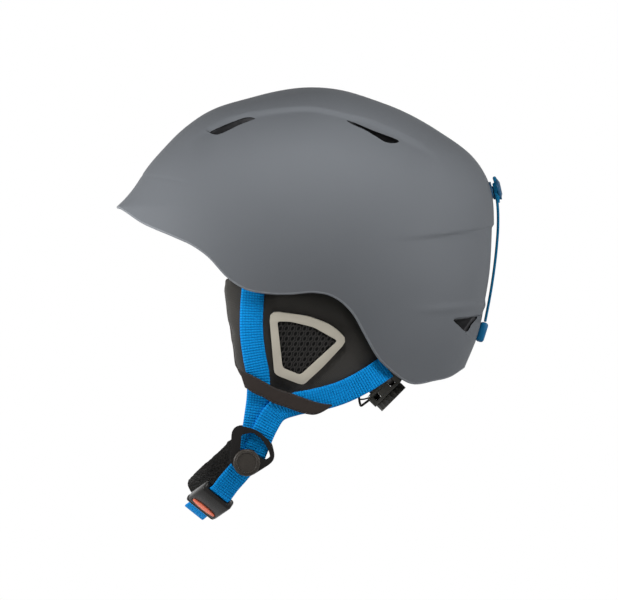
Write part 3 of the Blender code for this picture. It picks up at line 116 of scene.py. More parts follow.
# Raised crown panel and the pressed lines of the shell, in the side view
CROWN_EDGE = [(-100.0, -4.2), (-88.0, 5.2), (-72.0, 14.0), (-51.0, 18.8), (-30.0, 22.2), (-6.0, 23.2),
              (12.0, 19.8), (24.0, 16.8), (36.0, 14.4), (50.0, 8.4), (63.0, 2.4), (78.0, -6.2),
              (96.0, -20.2)]
REAR_STEP = [(45.0, -79.0), (60.0, -77.5), (86.6, -74.6), (112.0, -70.9), (131.4, -66.9), (140.0, -65.0)]
REAR_RIDGE = [(60.0, -133.0), (90.0, -130.8), (124.0, -128.0), (140.0, -127.0)]
BROW_CREASE = [(-140.0, -29.0), (-128.0, -30.2), (-115.8, -32.0), (-100.6, -35.0)]

# Where along x each pressed shape sets in and over what length, and how it falls and fades with height
CROWN_FRONT = (-100.0, 22.0)
CROWN_REAR = (96.0, -26.0)
CROWN_FALL = (3.0, 34.0)
REAR_STEP_START = (45.0, 50.0)
REAR_STEP_FALL = (2.0, 40.0)
RIDGE_START = (62.0, 36.0)
RIDGE_HALF = 5.0
CREASE_START = (-96.0, -14.0)
CREASE_HALF = 1.8

# Vents: the outer lip and the dark slot inside it, point for point
FRONT_VENT = ([(-87.4, 5.3), (-79.0, 2.5), (-70.4, 5.8), (-61.4, 10.1), (-51.0, 13.7), (-41.0, 18.9),
               (-50.6, 19.3), (-58.4, 17.5), (-67.6, 14.1), (-78.6, 10.3)],
              [(-84.6, 5.0), (-78.8, 3.2), (-72.0, 5.6), (-63.5, 9.9), (-55.5, 13.2), (-50.2, 15.4),
               (-53.5, 16.6), (-58.8, 16.0), (-66.8, 13.2), (-76.8, 9.2)])
REAR_VENT = ([(18.0, 16.1), (23.4, 11.1), (33.6, 6.1), (42.8, 0.5), (49.7, -3.5), (56.8, -4.4),
              (62.4, -3.0), (63.9, -0.4), (62.0, 2.2), (50.0, 7.7), (35.4, 13.5), (26.0, 15.8)],
             [(21.0, 14.1), (24.4, 11.3), (34.3, 6.8), (43.3, 1.3), (50.0, -2.7), (56.4, -3.5),
              (60.2, -2.5), (60.0, -1.1), (57.2, 0.3), (49.6, 3.1), (39.0, 7.1), (28.0, 11.8)])
LOWER_VENT = ([(100.8, -138.2), (111.0, -136.6), (123.6, -135.2), (120.0, -142.8), (114.2, -151.8),
               (106.0, -144.4)],
              [(103.1, -139.6), (111.0, -138.4), (121.5, -137.2), (117.4, -142.8), (113.2, -148.6),
               (107.0, -143.6)])
VENT_STEPS = 4
VENT_DEPTH = 2.4
VENT_LIP = 0.1
VENT_FLARE = 1.4
VENT_OVERRUN = 6.0
VENT_REACH = 9.0

# Ear side
EAR_TOP = -118.0
EAR_OUT = 90.9
EAR_TILT = 0.13
EAR_BOW = 0.0095
EAR_FLAT_MIDDLE = -12.0
EAR_FLAT_HALF = 32.0
EAR_PLUMB = -216.0
EAR_BOW_FADE = 20.0
SEAM_DEPTH = 7.5
EAR_FRONT = -50.0
EAR_FRONT_RUN = 18.0
SEAM_STEPS = 80
EAR_LOWER_EDGE = [(-69.5, -104.0), (-72.7, -112.0), (-71.6, -122.5), (-70.1, -136.3), (-67.9, -154.7),
                  (-64.7, -171.7), (-60.9, -181.7), (-55.9, -189.3), (-44.2, -197.8), (-28.7, -205.7),
                  (-13.1, -210.0), (-3.0, -210.0), (9.0, -204.5), (28.0, -196.0), (46.0, -186.0),
                  (57.0, -178.0)]
FRAME_INNER = [(-32.4, -139.6), (-21.8, -140.0), (-4.9, -144.1), (13.4, -154.4), (-15.0, -180.4),
               (-28.4, -175.0)]
FRONT_STRAP = [(-50.4, -112.6), (-51.9, -134.0), (-51.8, -150.0), (-49.8, -166.0), (-47.0, -181.0),
               (-46.8, -196.0), (-48.9, -213.0), (-51.4, -229.0), (-53.0, -238.5)]
REAR_STRAP = [(50.8, -174.2), (32.4, -186.2), (17.2, -193.6), (-5.0, -200.0), (-19.4, -202.8),
              (-33.0, -208.2), (-40.4, -219.0), (-45.4, -230.0), (-50.0, -241.5)]
BAND_UPPER = [(-61.5, -176.0), (-54.4, -179.4), (-42.2, -185.8), (-35.7, -189.6), (-18.7, -195.5),
              (-10.2, -198.7), (1.5, -202.2), (9.0, -203.0)]
BAND_LOWER = [(-57.0, -190.0), (-52.0, -193.4), (-42.0, -198.2), (-36.8, -201.3), (-25.1, -205.4),
              (-12.3, -209.8), (-4.0, -210.8), (3.5, -207.8), (9.0, -204.0)]
FRAME_EDGE = 0.9
NET_LIFT = 1.35
RING_SHAPE = 0.70
RING_SLANT = math.radians(28.0)
BACKING_LIFTS = (0.3, 0.6)
LAYER_GAP = 0.3
STRAP_THICKNESS = 1.5
STRAP_STEPS = 64
SELVEDGE_INSET = 0.35
SELVEDGE_LEVELS = (0.25, 0.75)
BAND_THICKNESS = 1.6
BAND_COLUMNS = 7
BAND_STEPS = 48
BAND_INSET = 0.03
BINDING_RIB = 1.1
STITCHED = range(2, 42)
STITCH_SHARE = 0.42
STITCH_PITCH = 1.35
STITCH_WIDTH = 0.6
FRONT_LIFT = LAYER_GAP
REAR_LIFT = FRONT_LIFT + STRAP_THICKNESS + LAYER_GAP
BAND_LIFT = REAR_LIFT + STRAP_THICKNESS + LAYER_GAP

# Chin webbing
STUD = (-55.5, -247.0)
STUD_FACE = 87.5
STUD_RING = 7.8
STUD_RING_RADIUS = 0.55
STUD_RING_STEPS = 48
CHIN_OUT = 77.41
CHIN_TOP = 6.0
CHIN_RUN = [(-62.0, -254.6, 0.0), (-69.5, -263.2, 2.4)]
CHIN_ENTRY = (-76.5, -271.4, 9.5)
CHIN_CROSS = [(-72.0, 72.5, -264.6), (-84.5, 56.0, -276.0), (-93.4, 28.0, -283.6), (-95.6, 0.0, -285.2)]
BUCKLE_AXIS = (-0.41, 0.866, -0.287)
BUCKLE_ACROSS = (0.775, 0.16, -0.623)
TONGUE_END = 34.9
STRAP_SEAT = 2.7
STRAP_LEAD = 4.0
CHIN_TURN_SHARE = 0.75
CHIN_LEFT_STEPS = 40
CHIN_RIGHT_STEPS = 110

# Stuffing: strength, steps and start of the blow-up; other pads' voxel and swell in shares of the ear pads'
STUFFING_PRESSURE = 4.0
STUFFING_STEPS = 20
STUFFING_SINK = 0.5
COMFORT_VOXEL = 0.8
COMFORT_SWELL = 0.6
CHIN_VOXEL = 0.7
CHIN_SWELL = 0.5

# Mouldings: welds in metres, angles for flat, rounded and sharp, and shares of the rounding for small ones
NODE_WELD = 1e-6
TUBE_WELD = 1e-7
FACET_ANGLE = math.radians(1.0)
BEVEL_ANGLE = math.radians(38.0)
SHARP_ANGLE = math.radians(40.0)
FIT_EDGE = 0.7
DIAL_EDGE = 0.5
SCREW_EDGE = 0.3
HOOK_EDGE = 0.6

# Gap between the leaf spring's ends and the floor of its well
SPRING_GAP = 0.3

# Fit unit: where it stands, and the dark fillings that close its joints, as two corners each
FIT_PLACE = (45.8, 0.0, -189.2)
FIT_FILLINGS = [
    ((-16.4, -13.4, 1.2), (16.4, 13.4, 2.3)),
    ((-12.0, -8.0, -2.4), (12.0, 8.0, 0.3)),
    ((-10.0, 12.6, -2.5), (10.0, 19.5, 8.4)),
    ((-2.0, 5.25, 1.2), (2.0, 12.2, 5.2)),
    ((-2.0, -12.2, 1.2), (2.0, -5.25, 5.2)),
    ((-2.0, 9.56, 1.2), (2.0, 12.2, 6.9)),
    ((-2.0, -12.2, 1.2), (2.0, -9.56, 6.9)),
    ((-4.0, -12.6, 8.5), (4.0, 12.6, 8.96)),
]

# Small loop at the lower edge of the fit unit: its bow and its cross bar
FIT_LOOP = [(29.5, -12.0, -194.5), (29.6, -12.0, -198.0), (30.2, -12.0, -202.0), (31.0, -12.0, -204.2),
            (33.6, -12.0, -202.6), (37.4, -12.0, -199.8)]
FIT_LOOP_BAR = [(30.0, -12.0, -199.4), (33.4, -12.0, -199.2), (37.0, -12.0, -198.2)]
LOOP_STEPS = 24
LOOP_RADIUS = 0.9
BAR_RADIUS = 0.6

# Saddle between the retainer hook's two plates, in the side view
HOOK_SADDLE = [(131.9, -47.5), (138.3, -47.5), (137.8, -42.5), (131.4, -42.5)]
SADDLE_HALF = 2.5

# Elastic where it runs round the hook's stem
RETAINER_PULL = [(135.3, -4.2, -50.0), (134.9, -4.2, -43.5), (134.2, -4.0, -38.0), (133.2, -2.6, -33.2),
                 (132.5, 0.0, -31.2), (133.2, 2.6, -33.2), (134.2, 4.0, -38.0), (134.9, 4.2, -43.5),
                 (135.3, 4.2, -50.0)]
PULL_RADIUS = 1.4
PULL_STEPS = 48

# Camera's aim and the floor
VIEW_CENTRE = (-8.4, 0.0, -123.9)
FLOOR_HALF = 6.0

# Soft lamps: name, place and target in millimetres, power in watts
LAMPS = [
    ("main_lamp", (0.0, -280.0, 125.0), (0.0, -93.0, -14.0), 0.71),
    ("front_lamp", (-460.0, -160.0, -60.0), (-106.0, -70.0, -44.0), 1.9),
    ("rear_lamp", (420.0, -240.0, -20.0), (91.0, -75.0, -45.0), 1.2),
    ("low_lamp", (-80.0, -350.0, -420.0), (-50.0, -85.0, -210.0), 0.07),
    ("far_lamp", (0.0, 330.0, 125.0), (0.0, 93.0, -14.0), 0.7),
    ("far_front_lamp", (-230.0, 400.0, -40.0), (-60.0, 80.0, -70.0), 1.0),
    ("far_rear_lamp", (230.0, 400.0, -40.0), (60.0, 80.0, -70.0), 1.0),
]


def screen(red, green, blue):
    """Linear colour from screen values of 0 to 255."""
    return tuple((value / 255) ** 2.2 for value in (red, green, blue))


def colour_property(name, description, values):
    """Colour that a user can change, given in screen values."""
    return FloatVectorProperty(name=name, description=description, subtype="COLOR", size=3, min=0.0, max=1.0,
                               default=screen(*values))


def length_property(name, description, millimetres):
    """Length that a user can change, given in millimetres."""
    return FloatProperty(name=name, description=description, default=millimetres * MM, min=0.0, unit="LENGTH",
                         precision=4)


def count_property(name, description, count, least):
    """Number of facets that a user can change."""
    return IntProperty(name=name, description=description, default=count, min=least)


class ShellSettings(bpy.types.PropertyGroup):
    """Sizes and colours of the shell."""
    wall: length_property("Wall", "Thickness of the shell", 2.6)
    crown_step: length_property("Crown step", "How far the crown panel stands above the shell around it", 2.6)
    rear_step: length_property("Rear step", "Depth of the pressed line across the rear", 1.5)
    rear_ridge: length_property("Rear ridge", "Height of the ridge above the lower vents", 1.0)
    brow_crease: length_property("Brow crease", "Depth of the crease above the brim", 0.25)
    grey: colour_property("Grey", "Main colour of the shell", (105, 108, 112))
    shade: colour_property("Shade", "Darker grey that varies the main colour", (98, 101, 105))
    # Lip is lighter than the grey: a painted highlight along the rim edge
    lip: colour_property("Lip", "Colour of the thin edge along the rim", (124, 127, 132))
    columns: count_property("Columns", "Facets round the shell", 240, 48)
    rows: count_property("Rows", "Outer facets from crown to rim", 190, 24)
    inner_rows: count_property("Inner rows", "Inner facets from crown to rim", 40, 12)


class PaddingSettings(bpy.types.PropertyGroup):
    """Sizes and colours of the soft pieces."""
    voxel: length_property("Voxel", "Size of the facets that the padding is blown up from", 3.0)
    swell: length_property("Swell", "Farthest that the cloth may move while it is blown up", 2.2)
    front_edge: length_property("Front edge", "How far the ear pads' front edges are drawn forward", 3.4)
    piping: length_property("Piping", "Radius of the piping round the ear pads", 1.0)
    cloth: colour_property("Cloth", "Colour of the ear pads", (39, 38, 35))
    cloth_light: colour_property("Worn cloth", "Lighter colour of the raised nap", (66, 63, 59))
    fleece: colour_property("Fleece", "Colour of the chin pad", (30, 29, 28))
    foam: colour_property("Foam", "Colour of the liner", (32, 32, 34))
    mesh: colour_property("Mesh", "Colour of the open mesh over the ear", (46, 45, 44))
    mesh_back: colour_property("Mesh back", "Colour seen through the holes of the mesh", (13, 13, 13))
    mesh_across: length_property("Mesh across", "Distance between the holes of a row of the mesh", 4.6)
    mesh_rows: length_property("Mesh rows", "Distance between the rows of the mesh", 3.9)
    mesh_ring: length_property("Mesh ring", "Half the length of a ring of the mesh", 2.3)
    mesh_yarn: length_property("Mesh yarn", "Radius of the mesh's yarn", 0.62)


class WebbingSettings(bpy.types.PropertyGroup):
    """Sizes and colours of the webbing."""
    width: length_property("Width", "Width of the webbing", 17.5)
    rib: length_property("Rib", "Distance between the cross ribs of the weave", 2.0)
    yarn: length_property("Yarn", "Distance between the lengthwise yarns", 2.1)
    blue: colour_property("Blue", "Colour of the raised yarns", (0, 159, 238))
    deep: colour_property("Deep blue", "Colour between the yarns", (0, 98, 186))
    binding: colour_property("Binding", "Colour of the band over the ear pad", (46, 40, 37))
    stitch: length_property("Stitch", "Length of a stitch", 2.2)


class FittingSettings(bpy.types.PropertyGroup):
    """Sizes and colours of the hard fittings."""
    edge: length_property("Edge", "Rounding of moulded edges", 0.6)
    plastic: colour_property("Plastic", "Colour of the black fittings", (27, 25, 24))
    frame: colour_property("Ear frame", "Colour of the frames on the ear pads", (178, 172, 158))
    stud: colour_property("Stud", "Colour of the rivet caps and of the rings on them", (56, 52, 48))
    fit_unit: colour_property("Fit unit", "Colour of the fit unit's mouldings", (64, 63, 59))
    button: colour_property("Button", "Colour of the release button", (255, 116, 84))
    elastic: colour_property("Elastic", "Colour of the retainer's elastic", (0, 104, 146))
    clip: colour_property("Clip", "Colour of the retainer's clip", (4, 88, 128))
    hook: colour_property("Hook", "Colour of the retainer's hook", (24, 66, 94))


class StageSettings(bpy.types.PropertyGroup):
    """Camera, floor and lights."""
    lens: FloatProperty(name="Lens", description="Focal length in millimetres", default=1500.0, min=20.0)
    view_width: length_property("View width", "Width of what the camera sees at the helmet", 469.7)
    elevation: FloatProperty(name="Elevation", description="Height of the camera", default=0.0,
                             subtype="ANGLE")
    lamp_size: length_property("Lamp size", "Width of each soft lamp", 150.0)
    floor: length_property("Floor drop", "How far the floor lies below the helmet", 70.0)
    floor_fade: length_property("Floor fade", "Distance at which the floor turns white", 900.0)
    ambient: FloatProperty(name="Ambient", description="Strength of the light from all round",
                           default=0.03, min=0.0)


SETTINGS = {
    "helmet_shell": ShellSettings,
    "helmet_padding": PaddingSettings,
    "helmet_webbing": WebbingSettings,
    "helmet_fittings": FittingSettings,
    "helmet_stage": StageSettings,
}


# Materials

class Wire:
    """Socket of a node tree that takes part in plain arithmetic."""

    def __init__(self, tree, socket=None):
        self.tree = tree
        self.socket = socket

    def make(self, kind, settings=None, inputs=None, output=0):
        """Add a node of a kind, set it up, feed its sockets and give one of its outputs."""
        node = self.tree.nodes.new(kind)
        for key, value in (settings or {}).items():
            setattr(node, key, value)
        for key, value in (inputs or {}).items():
            self.feed(node.inputs[key], value)
        return Wire(self.tree, node.outputs[output])

    def feed(self, target, value):
        """Link or set one input."""
        if isinstance(value, Wire):
            self.tree.links.new(value.socket, target)
        else:
            target.default_value = value

    def maths(self, operation, *values):
        return self.make("ShaderNodeMath", {"operation": operation}, dict(enumerate(values)))

    def __add__(self, other):
        return self.maths("ADD", self, other)

    def __sub__(self, other):
        return self.maths("SUBTRACT", self, other)

    def __rsub__(self, other):
        return self.maths("SUBTRACT", other, self)

    def __mul__(self, other):
        return self.maths("MULTIPLY", self, other)

    def __truediv__(self, other):
        return self.maths("DIVIDE", self, other)

    def __pow__(self, other):
        return self.maths("POWER", self, other)

    __radd__ = __add__
    __rmul__ = __mul__


def mixed(factor, first, second):
    """Colour between two plain colours."""
    inputs = {0: factor, 6: (*first, 1.0), 7: (*second, 1.0)}
    return factor.make("ShaderNodeMix", {"data_type": "RGBA"}, inputs, 2)


def scaled(colour, factor):
    return tuple(value * factor for value in colour)


def noise(coords, scale, detail=2.0):
    return coords.make("ShaderNodeTexNoise", None, {"Vector": coords, "Scale": scale, "Detail": detail})


def cells(coords, scale):
    return coords.make("ShaderNodeTexVoronoi", None, {"Vector": coords, "Scale": scale}, "Distance")


def waves(coords, direction, scale, distortion, detail):
    """Bands of a knit or a braid."""
    inputs = {"Vector": coords, "Scale": scale, "Distortion": distortion, "Detail": detail}
    return coords.make("ShaderNodeTexWave", {"bands_direction": direction}, inputs, "Fac")


def ribs(travel, spacing):
    """Rounded ribs at a spacing in metres."""
    turn = travel * (math.pi / spacing)
    return turn.maths("ABSOLUTE", turn.maths("SINE", turn))


def bump(height, strength, distance):
    return height.make("ShaderNodeBump", None, {"Height": height, "Strength": strength, "Distance": distance})


def object_place(start):
    return start.make("ShaderNodeTexCoord", None, None, "Object")


def weave_place(start):
    """Across and along the webbing, in metres, from its own map."""
    place = start.make("ShaderNodeUVMap", {"uv_map": "weave"})
    return [place.make("ShaderNodeSeparateXYZ", None, {0: place}, axis) for axis in (0, 1)]


def finish(name, paint, **constants):
    """Material by name; paint(place) gives the sockets that vary and constants the ones that don't."""
    material = bpy.data.materials.get(name)
    if material:
        return material
    material = bpy.data.materials.new(name)
    material.use_nodes = True
    shader = material.node_tree.nodes["Principled BSDF"]
    place = object_place(Wire(material.node_tree))
    for key, value in constants.items():
        shader.inputs[key.replace("_", " ")].default_value = value
    for key, value in paint(place).items():
        place.feed(shader.inputs[key], value)
    return material


def shell_finish():
    settings = bpy.context.scene.helmet_shell

    def paint(place):
        grain = noise(place, 1500.0, 3.0)
        tone = noise(place, 18.0) * 0.55 + grain * 0.45
        return {"Base Color": mixed(tone, settings.shade, settings.grey),
                "Roughness": 0.54 + 0.16 * noise(place, 420.0, 1.0), "Normal": bump(grain, 0.35, 0.00012)}

    return finish("matte_shell_paint", paint, Specular_IOR_Level=0.05)


# Rim edge painted lighter than the shell grey, a painted highlight along the rim; noise varies its strength
# at random
def lip_highlight_finish():
    settings = bpy.context.scene.helmet_shell

    def paint(place):
        wear_and_highlight = noise(place, 160.0)
        return {"Base Color": mixed(wear_and_highlight, settings.grey, settings.lip), "Roughness": 0.45 + 0.2 * wear_and_highlight}

    return finish("rim_edge", paint, Specular_IOR_Level=0.2)


def foam_finish():
    black = bpy.context.scene.helmet_padding.foam

    def paint(place):
        bead = cells(place, 260.0)
        return {"Base Color": mixed(bead, scaled(black, 1.7), black), "Roughness": 0.75 + 0.2 * bead,
                "Normal": bump(1 - bead, 0.5, 0.0006)}

    return finish("beaded_liner_foam", paint)


def pad_finish():
    settings = bpy.context.scene.helmet_padding

    def paint(place):
        nap = noise(place, 900.0, 4.0)
        knit = waves(place, "DIAGONAL", 420.0, 2.5, 2.0)
        tone = nap * 0.45 + noise(place, 45.0) * 0.3 + knit * 0.1
        return {"Base Color": mixed(tone, settings.cloth, settings.cloth_light),
                "Roughness": 0.86 + 0.12 * nap, "Normal": bump(nap * 0.6 + knit * 0.4, 0.55, 0.0004)}

    return finish("brushed_pad_cloth", paint, Sheen_Weight=0.25, Sheen_Roughness=0.5)


def fleece_finish():
    black = bpy.context.scene.helmet_padding.fleece

    def paint(place):
        tuft = noise(place, 380.0, 5.0)
        curl = cells(place, 520.0)
        return {"Base Color": mixed(tuft * curl, black, scaled(black, 5.5)), "Roughness": 0.9 + 0.1 * tuft,
                "Normal": bump(tuft + curl * 0.7, 0.9, 0.0012)}

    return finish("curly_fleece", paint, Sheen_Weight=0.08, Sheen_Roughness=0.6, Specular_IOR_Level=0.1)


def mesh_finish(name, black):
    def paint(place):
        yarn = noise(place, 1300.0, 3.0)
        return {"Base Color": mixed(yarn, black, scaled(black, 1.8)), "Roughness": 0.6 + 0.3 * yarn,
                "Normal": bump(yarn, 0.4, 0.0002)}

    return finish(name, paint, Specular_IOR_Level=0.2)


def webbing_finish():
    settings = bpy.context.scene.helmet_webbing

    def paint(place):
        across, along = weave_place(place)
        relief = (ribs(along, settings.rib) ** 0.6) * (0.6 + 0.4 * ribs(across, settings.yarn))
        fuzz = noise(place, 1600.0, 3.0)
        tone = relief * 0.85 + fuzz * 0.12 + noise(place, 60.0) * 0.15
        return {"Base Color": mixed(tone, settings.deep, settings.blue),
                "Roughness": 0.85 - 0.15 * relief, "Normal": bump(relief + fuzz * 0.15, 0.85, 0.0006)}

    return finish("woven_webbing", paint, Specular_IOR_Level=0.12)


def binding_finish():
    black = bpy.context.scene.helmet_webbing.binding

    def paint(place):
        rib = ribs(weave_place(place)[1], BINDING_RIB * MM)
        wear_and_highlight = noise(place, 220.0, 3.0)
        return {"Base Color": mixed(wear_and_highlight * 0.6 + rib * 0.3, black, scaled(black, 1.6)),
                "Roughness": 0.6 + 0.25 * wear_and_highlight, "Normal": bump(rib * 0.5 + wear_and_highlight, 0.45, 0.0003)}

    return finish("ribbed_binding", paint, Specular_IOR_Level=0.25)


def cord_finish():
    blue = bpy.context.scene.helmet_fittings.elastic

    def paint(place):
        braid = waves(place, "Z", 260.0, 1.5, 1.0)
        fuzz = noise(place, 1500.0)
        return {"Base Color": mixed(braid * 0.7 + fuzz * 0.3, scaled(blue, 0.55), blue),
                "Roughness": 0.6 + 0.2 * fuzz, "Normal": bump(braid, 0.6, 0.0003)}

    return finish("braided_elastic", paint, Specular_IOR_Level=0.15)


def plain_finish(name, colour, roughness, grain=900.0, **constants):
    """Moulded surface with a fine grain, faint handling marks and a slightly uneven colour."""
    def paint(place):
        fine = noise(place, grain, 3.0)
        rub = noise(place, 70.0)
        pale = tuple(min(value * 1.35 + 0.004, 1.0) for value in colour)
        return {"Base Color": mixed(rub * 0.6 + fine * 0.2, colour, pale),
                "Roughness": roughness - 0.08 + 0.16 * rub, "Normal": bump(fine, 0.18, 0.00012)}

    return finish(name, paint, **constants)


def plastic_finish():
    black = bpy.context.scene.helmet_fittings.plastic
    return plain_finish("black_moulding", black, 0.42, Specular_IOR_Level=0.14)


def piping_finish():
    return plain_finish("pad_piping_cloth", bpy.context.scene.helmet_webbing.binding, 0.75, 1500.0)


def steel_finish():
    return plain_finish("plated_steel", screen(170, 172, 175), 0.32, 1200.0, Metallic=1.0)


def dark_thread_finish():
    return plain_finish("dark_sewing_thread", screen(24, 23, 22), 0.6, 2200.0)


# Shapes shared by the pieces

def smooth_curve(points):
    """Smooth function through (input, output) pairs in rising order, level beyond both ends."""
    given = np.array([pair[0] for pair in points], float)
    wanted = np.array([pair[1] for pair in points], float)
    slopes = np.gradient(wanted, given)

    def value(at):
        at = min(max(at, given[0]), given[-1])
        i = min(int(np.searchsorted(given, at, side="right")) - 1, len(given) - 2)
        span = given[i + 1] - given[i]
        t = (at - given[i]) / span
        rise = t * t * (3 - 2 * t)
        start_pull = t * (1 - t) ** 2 * span * slopes[i]
        end_pull = t * t * (t - 1) * span * slopes[i + 1]
        return wanted[i] + rise * (wanted[i + 1] - wanted[i]) + start_pull + end_pull

    return value


def by_root_depth(profile):
    return smooth_curve([(math.sqrt(depth), reach) for depth, reach in profile])


FRONT_REACH = by_root_depth(FRONT_PROFILE)
REAR_REACH = by_root_depth(REAR_PROFILE)
SIDE_REACH = by_root_depth(SIDE_PROFILE)
RIM_HEIGHT = smooth_curve(RIM)
CROWN_EDGE_HEIGHT = smooth_curve(CROWN_EDGE)
REAR_STEP_HEIGHT = smooth_curve(REAR_STEP)
REAR_RIDGE_HEIGHT = smooth_curve(REAR_RIDGE)
BROW_CREASE_HEIGHT = smooth_curve(BROW_CREASE)


def eased(value):
    value = min(max(value, 0.0), 1.0)
    return value * value * (3 - 2 * value)


def ramp(value, start, run):
    """Eased way from 0 at a start to 1 a run farther on; a run below 0 goes the other way."""
    return eased((value - start) / run)


def distances(route):
    """Travel along a route, at each of its points."""
    travel = [0.0]
    for first, second in zip(route, route[1:]):
        travel.append(travel[-1] + (second - first).length)
    return travel


def directions(route):
    """Unit vectors along a route, at each of its points."""
    last = len(route) - 1
    return [(route[min(i + 1, last)] - route[max(i - 1, 0)]).normalized() for i in range(len(route))]


def smooth_route(points, steps):
    """Points along a smooth curve through given points of any dimension."""
    points = [Vector(point) for point in points]
    travel = distances(points)
    curves = [smooth_curve(list(zip(travel, values))) for values in zip(*points)]
    return [Vector([curve(place) for curve in curves]) for place in np.linspace(0, travel[-1], steps)]


def circle_turns(count):
    return [2 * math.pi * i / count for i in range(count)]


def linked(name, data):
    """Object in the scene for a mesh, a camera or a lamp."""
    piece = bpy.data.objects.new(name, data)
    bpy.context.scene.collection.objects.link(piece)
    return piece


def keep(piece, body, node=None):
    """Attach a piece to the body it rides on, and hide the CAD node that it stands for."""
    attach(piece, body)
    if node:
        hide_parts(node)
    return piece


def modified(piece, kind, **settings):
    """Add a modifier, and set it up in the order given."""
    modifier = piece.modifiers.new(kind.lower(), kind)
    for key, value in settings.items():
        setattr(modifier, key, value)
    return modifier


def settle(piece):
    """Make a piece's modifiers part of its mesh."""
    bpy.context.view_layer.update()
    graph = bpy.context.evaluated_depsgraph_get()
    mesh = bpy.data.meshes.new_from_object(piece.evaluated_get(graph))
    old = piece.data
    piece.modifiers.clear()
    piece.data = mesh
    bpy.data.meshes.remove(old)
    return piece


def reworked(mesh, weld=0.0, flat_within=0.0, outwards=False):
    """Weld close points of a mesh, join its flat facets or turn its faces outwards."""
    bm = bmesh.new()
    bm.from_mesh(mesh)
    if weld:
        bmesh.ops.remove_doubles(bm, verts=bm.verts, dist=weld)
    if flat_within:
        bmesh.ops.dissolve_limit(bm, angle_limit=flat_within, verts=bm.verts, edges=bm.edges)
    if outwards:
        bmesh.ops.recalc_face_normals(bm, faces=bm.faces)
    bm.to_mesh(mesh)
    bm.free()


def coated(piece, material):
    """Give a piece one material and smooth shading."""
    piece.data.materials.clear()
    piece.data.materials.append(material)
    piece.data.shade_smooth()
    return piece


def new_piece(name, points, faces, material, weave=None):
    """Smooth mesh object from points in millimetres, with faces turned outwards."""
    mesh = bpy.data.meshes.new(name)
    mesh.from_pydata([Vector(point) * MM for point in points], [], faces)
    if weave is not None:
        layer = mesh.uv_layers.new(name="weave")
        for loop in mesh.loops:
            layer.data[loop.index].uv = [value * MM for value in weave[loop.vertex_index]]
    reworked(mesh, outwards=True)
    return coated(linked(name, mesh), material)


def ring_faces(rings, count):
    """Faces over rings with the same number of points: both ends, and then the sides."""
    faces = [tuple(range(count)), tuple(range((rings - 1) * count, rings * count))]
    for i in range(rings - 1):
        for j in range(count):
            k = (j + 1) % count
            faces.append((i * count + j, i * count + k, (i + 1) * count + k, (i + 1) * count + j))
    return faces


def prism(name, ends, material):
    """Flat-faced block between two outlines with the same number of points."""
    piece = new_piece(name, ends[0] + ends[1], ring_faces(2, len(ends[0])), material)
    piece.data.shade_flat()
    return piece


def swept(name, place, travel, outline, material):
    """Closed band: an outline of (across, out) pairs carried along by a placing function."""
    points = []
    weave = []
    for i, run in enumerate(travel):
        for across, out in outline:
            points.append(place(i, across, out))
            weave.append((across, run))
    return new_piece(name, points, ring_faces(len(travel), len(outline)), material, weave)


def band_outline(half, thickness, inset, levels):
    """Outline of a flat band whose selvedges stand out at given shares of its thickness."""
    spread = np.linspace(inset - half, half - inset, BAND_COLUMNS)
    lower = [(across, 0.0) for across in spread]
    upper = [(across, thickness) for across in reversed(spread)]
    selvedge = [thickness * level for level in levels]
    right = [(half, out) for out in selvedge]
    left = [(-half, out) for out in reversed(selvedge)]
    return lower + right + upper + left


def strap_outline():
    half = bpy.context.scene.helmet_webbing.width / MM / 2
    return band_outline(half, STRAP_THICKNESS, STRAP_THICKNESS * SELVEDGE_INSET, SELVEDGE_LEVELS)


def mirrored(piece, name):
    """Right-hand twin of a left-hand piece."""
    mesh = piece.data.copy()
    mesh.transform(Matrix.Scale(-1, 4, (0, 1, 0)))
    mesh.flip_normals()
    return linked(name, mesh)


def both_sides(node):
    return [node + "_left", node + "_right"]


def solid_copy(name, node):
    """Welded copy of a CAD node, in a mesh of its own."""
    source = frame["nodes"][node].data
    mesh = bpy.data.meshes.new(name)
    mesh.from_pydata([v.co for v in source.vertices], [], [tuple(p.vertices) for p in source.polygons])
    reworked(mesh, weld=NODE_WELD)
    return linked(name, mesh)


def moulded(node, material, edge, body):
    """Moulded copy of a hard CAD node, with rounded edges."""
    piece = solid_copy(node + "_moulding", node)
    reworked(piece.data, flat_within=FACET_ANGLE)
    modified(piece, "BEVEL", width=edge, segments=3, limit_method="ANGLE", angle_limit=BEVEL_ANGLE,
             use_clamp_overlap=True)
    coated(settle(piece), material)
    piece.data.set_sharp_from_angle(angle=SHARP_ANGLE)
    return keep(piece, body, node)


def points_of(mesh):
    return np.array([vertex.co for vertex in mesh.vertices])


def move_points(mesh, places):
    mesh.vertices.foreach_set("co", places.astype(np.float32).ravel())
    mesh.update()


def swollen(name, node, material, voxel, cap):
    """Stuffed copy of a padded CAD solid: remeshed, blown up as cloth, and kept within a cap."""
    piece = solid_copy(name, node)
    modified(piece, "REMESH", mode="VOXEL", voxel_size=voxel)
    settle(piece)
    normals = np.array([vertex.normal for vertex in piece.data.vertices])
    rest = points_of(piece.data) - normals * cap * STUFFING_SINK
    move_points(piece.data, rest)
    cloth = modified(piece, "CLOTH")
    cloth.settings.use_pressure = True
    cloth.settings.uniform_pressure_force = STUFFING_PRESSURE
    cloth.settings.effector_weights.gravity = 0.0
    cloth.settings.quality = 4
    cloth.point_cache.frame_start = 1
    cloth.point_cache.frame_end = STUFFING_STEPS
    for step in range(1, STUFFING_STEPS + 1):
        bpy.context.scene.frame_set(step)
    settle(piece)
    bpy.context.scene.frame_set(1)
    moved = points_of(piece.data) - rest
    reach = np.linalg.norm(moved, axis=1, keepdims=True)
    moved *= np.minimum(1.0, cap / np.maximum(reach, 1e-9))
    move_points(piece.data, rest + moved)
    modified(piece, "SMOOTH", factor=0.5, iterations=3)
    modified(piece, "SUBSURF", levels=1, render_levels=1)
    return coated(settle(piece), material)


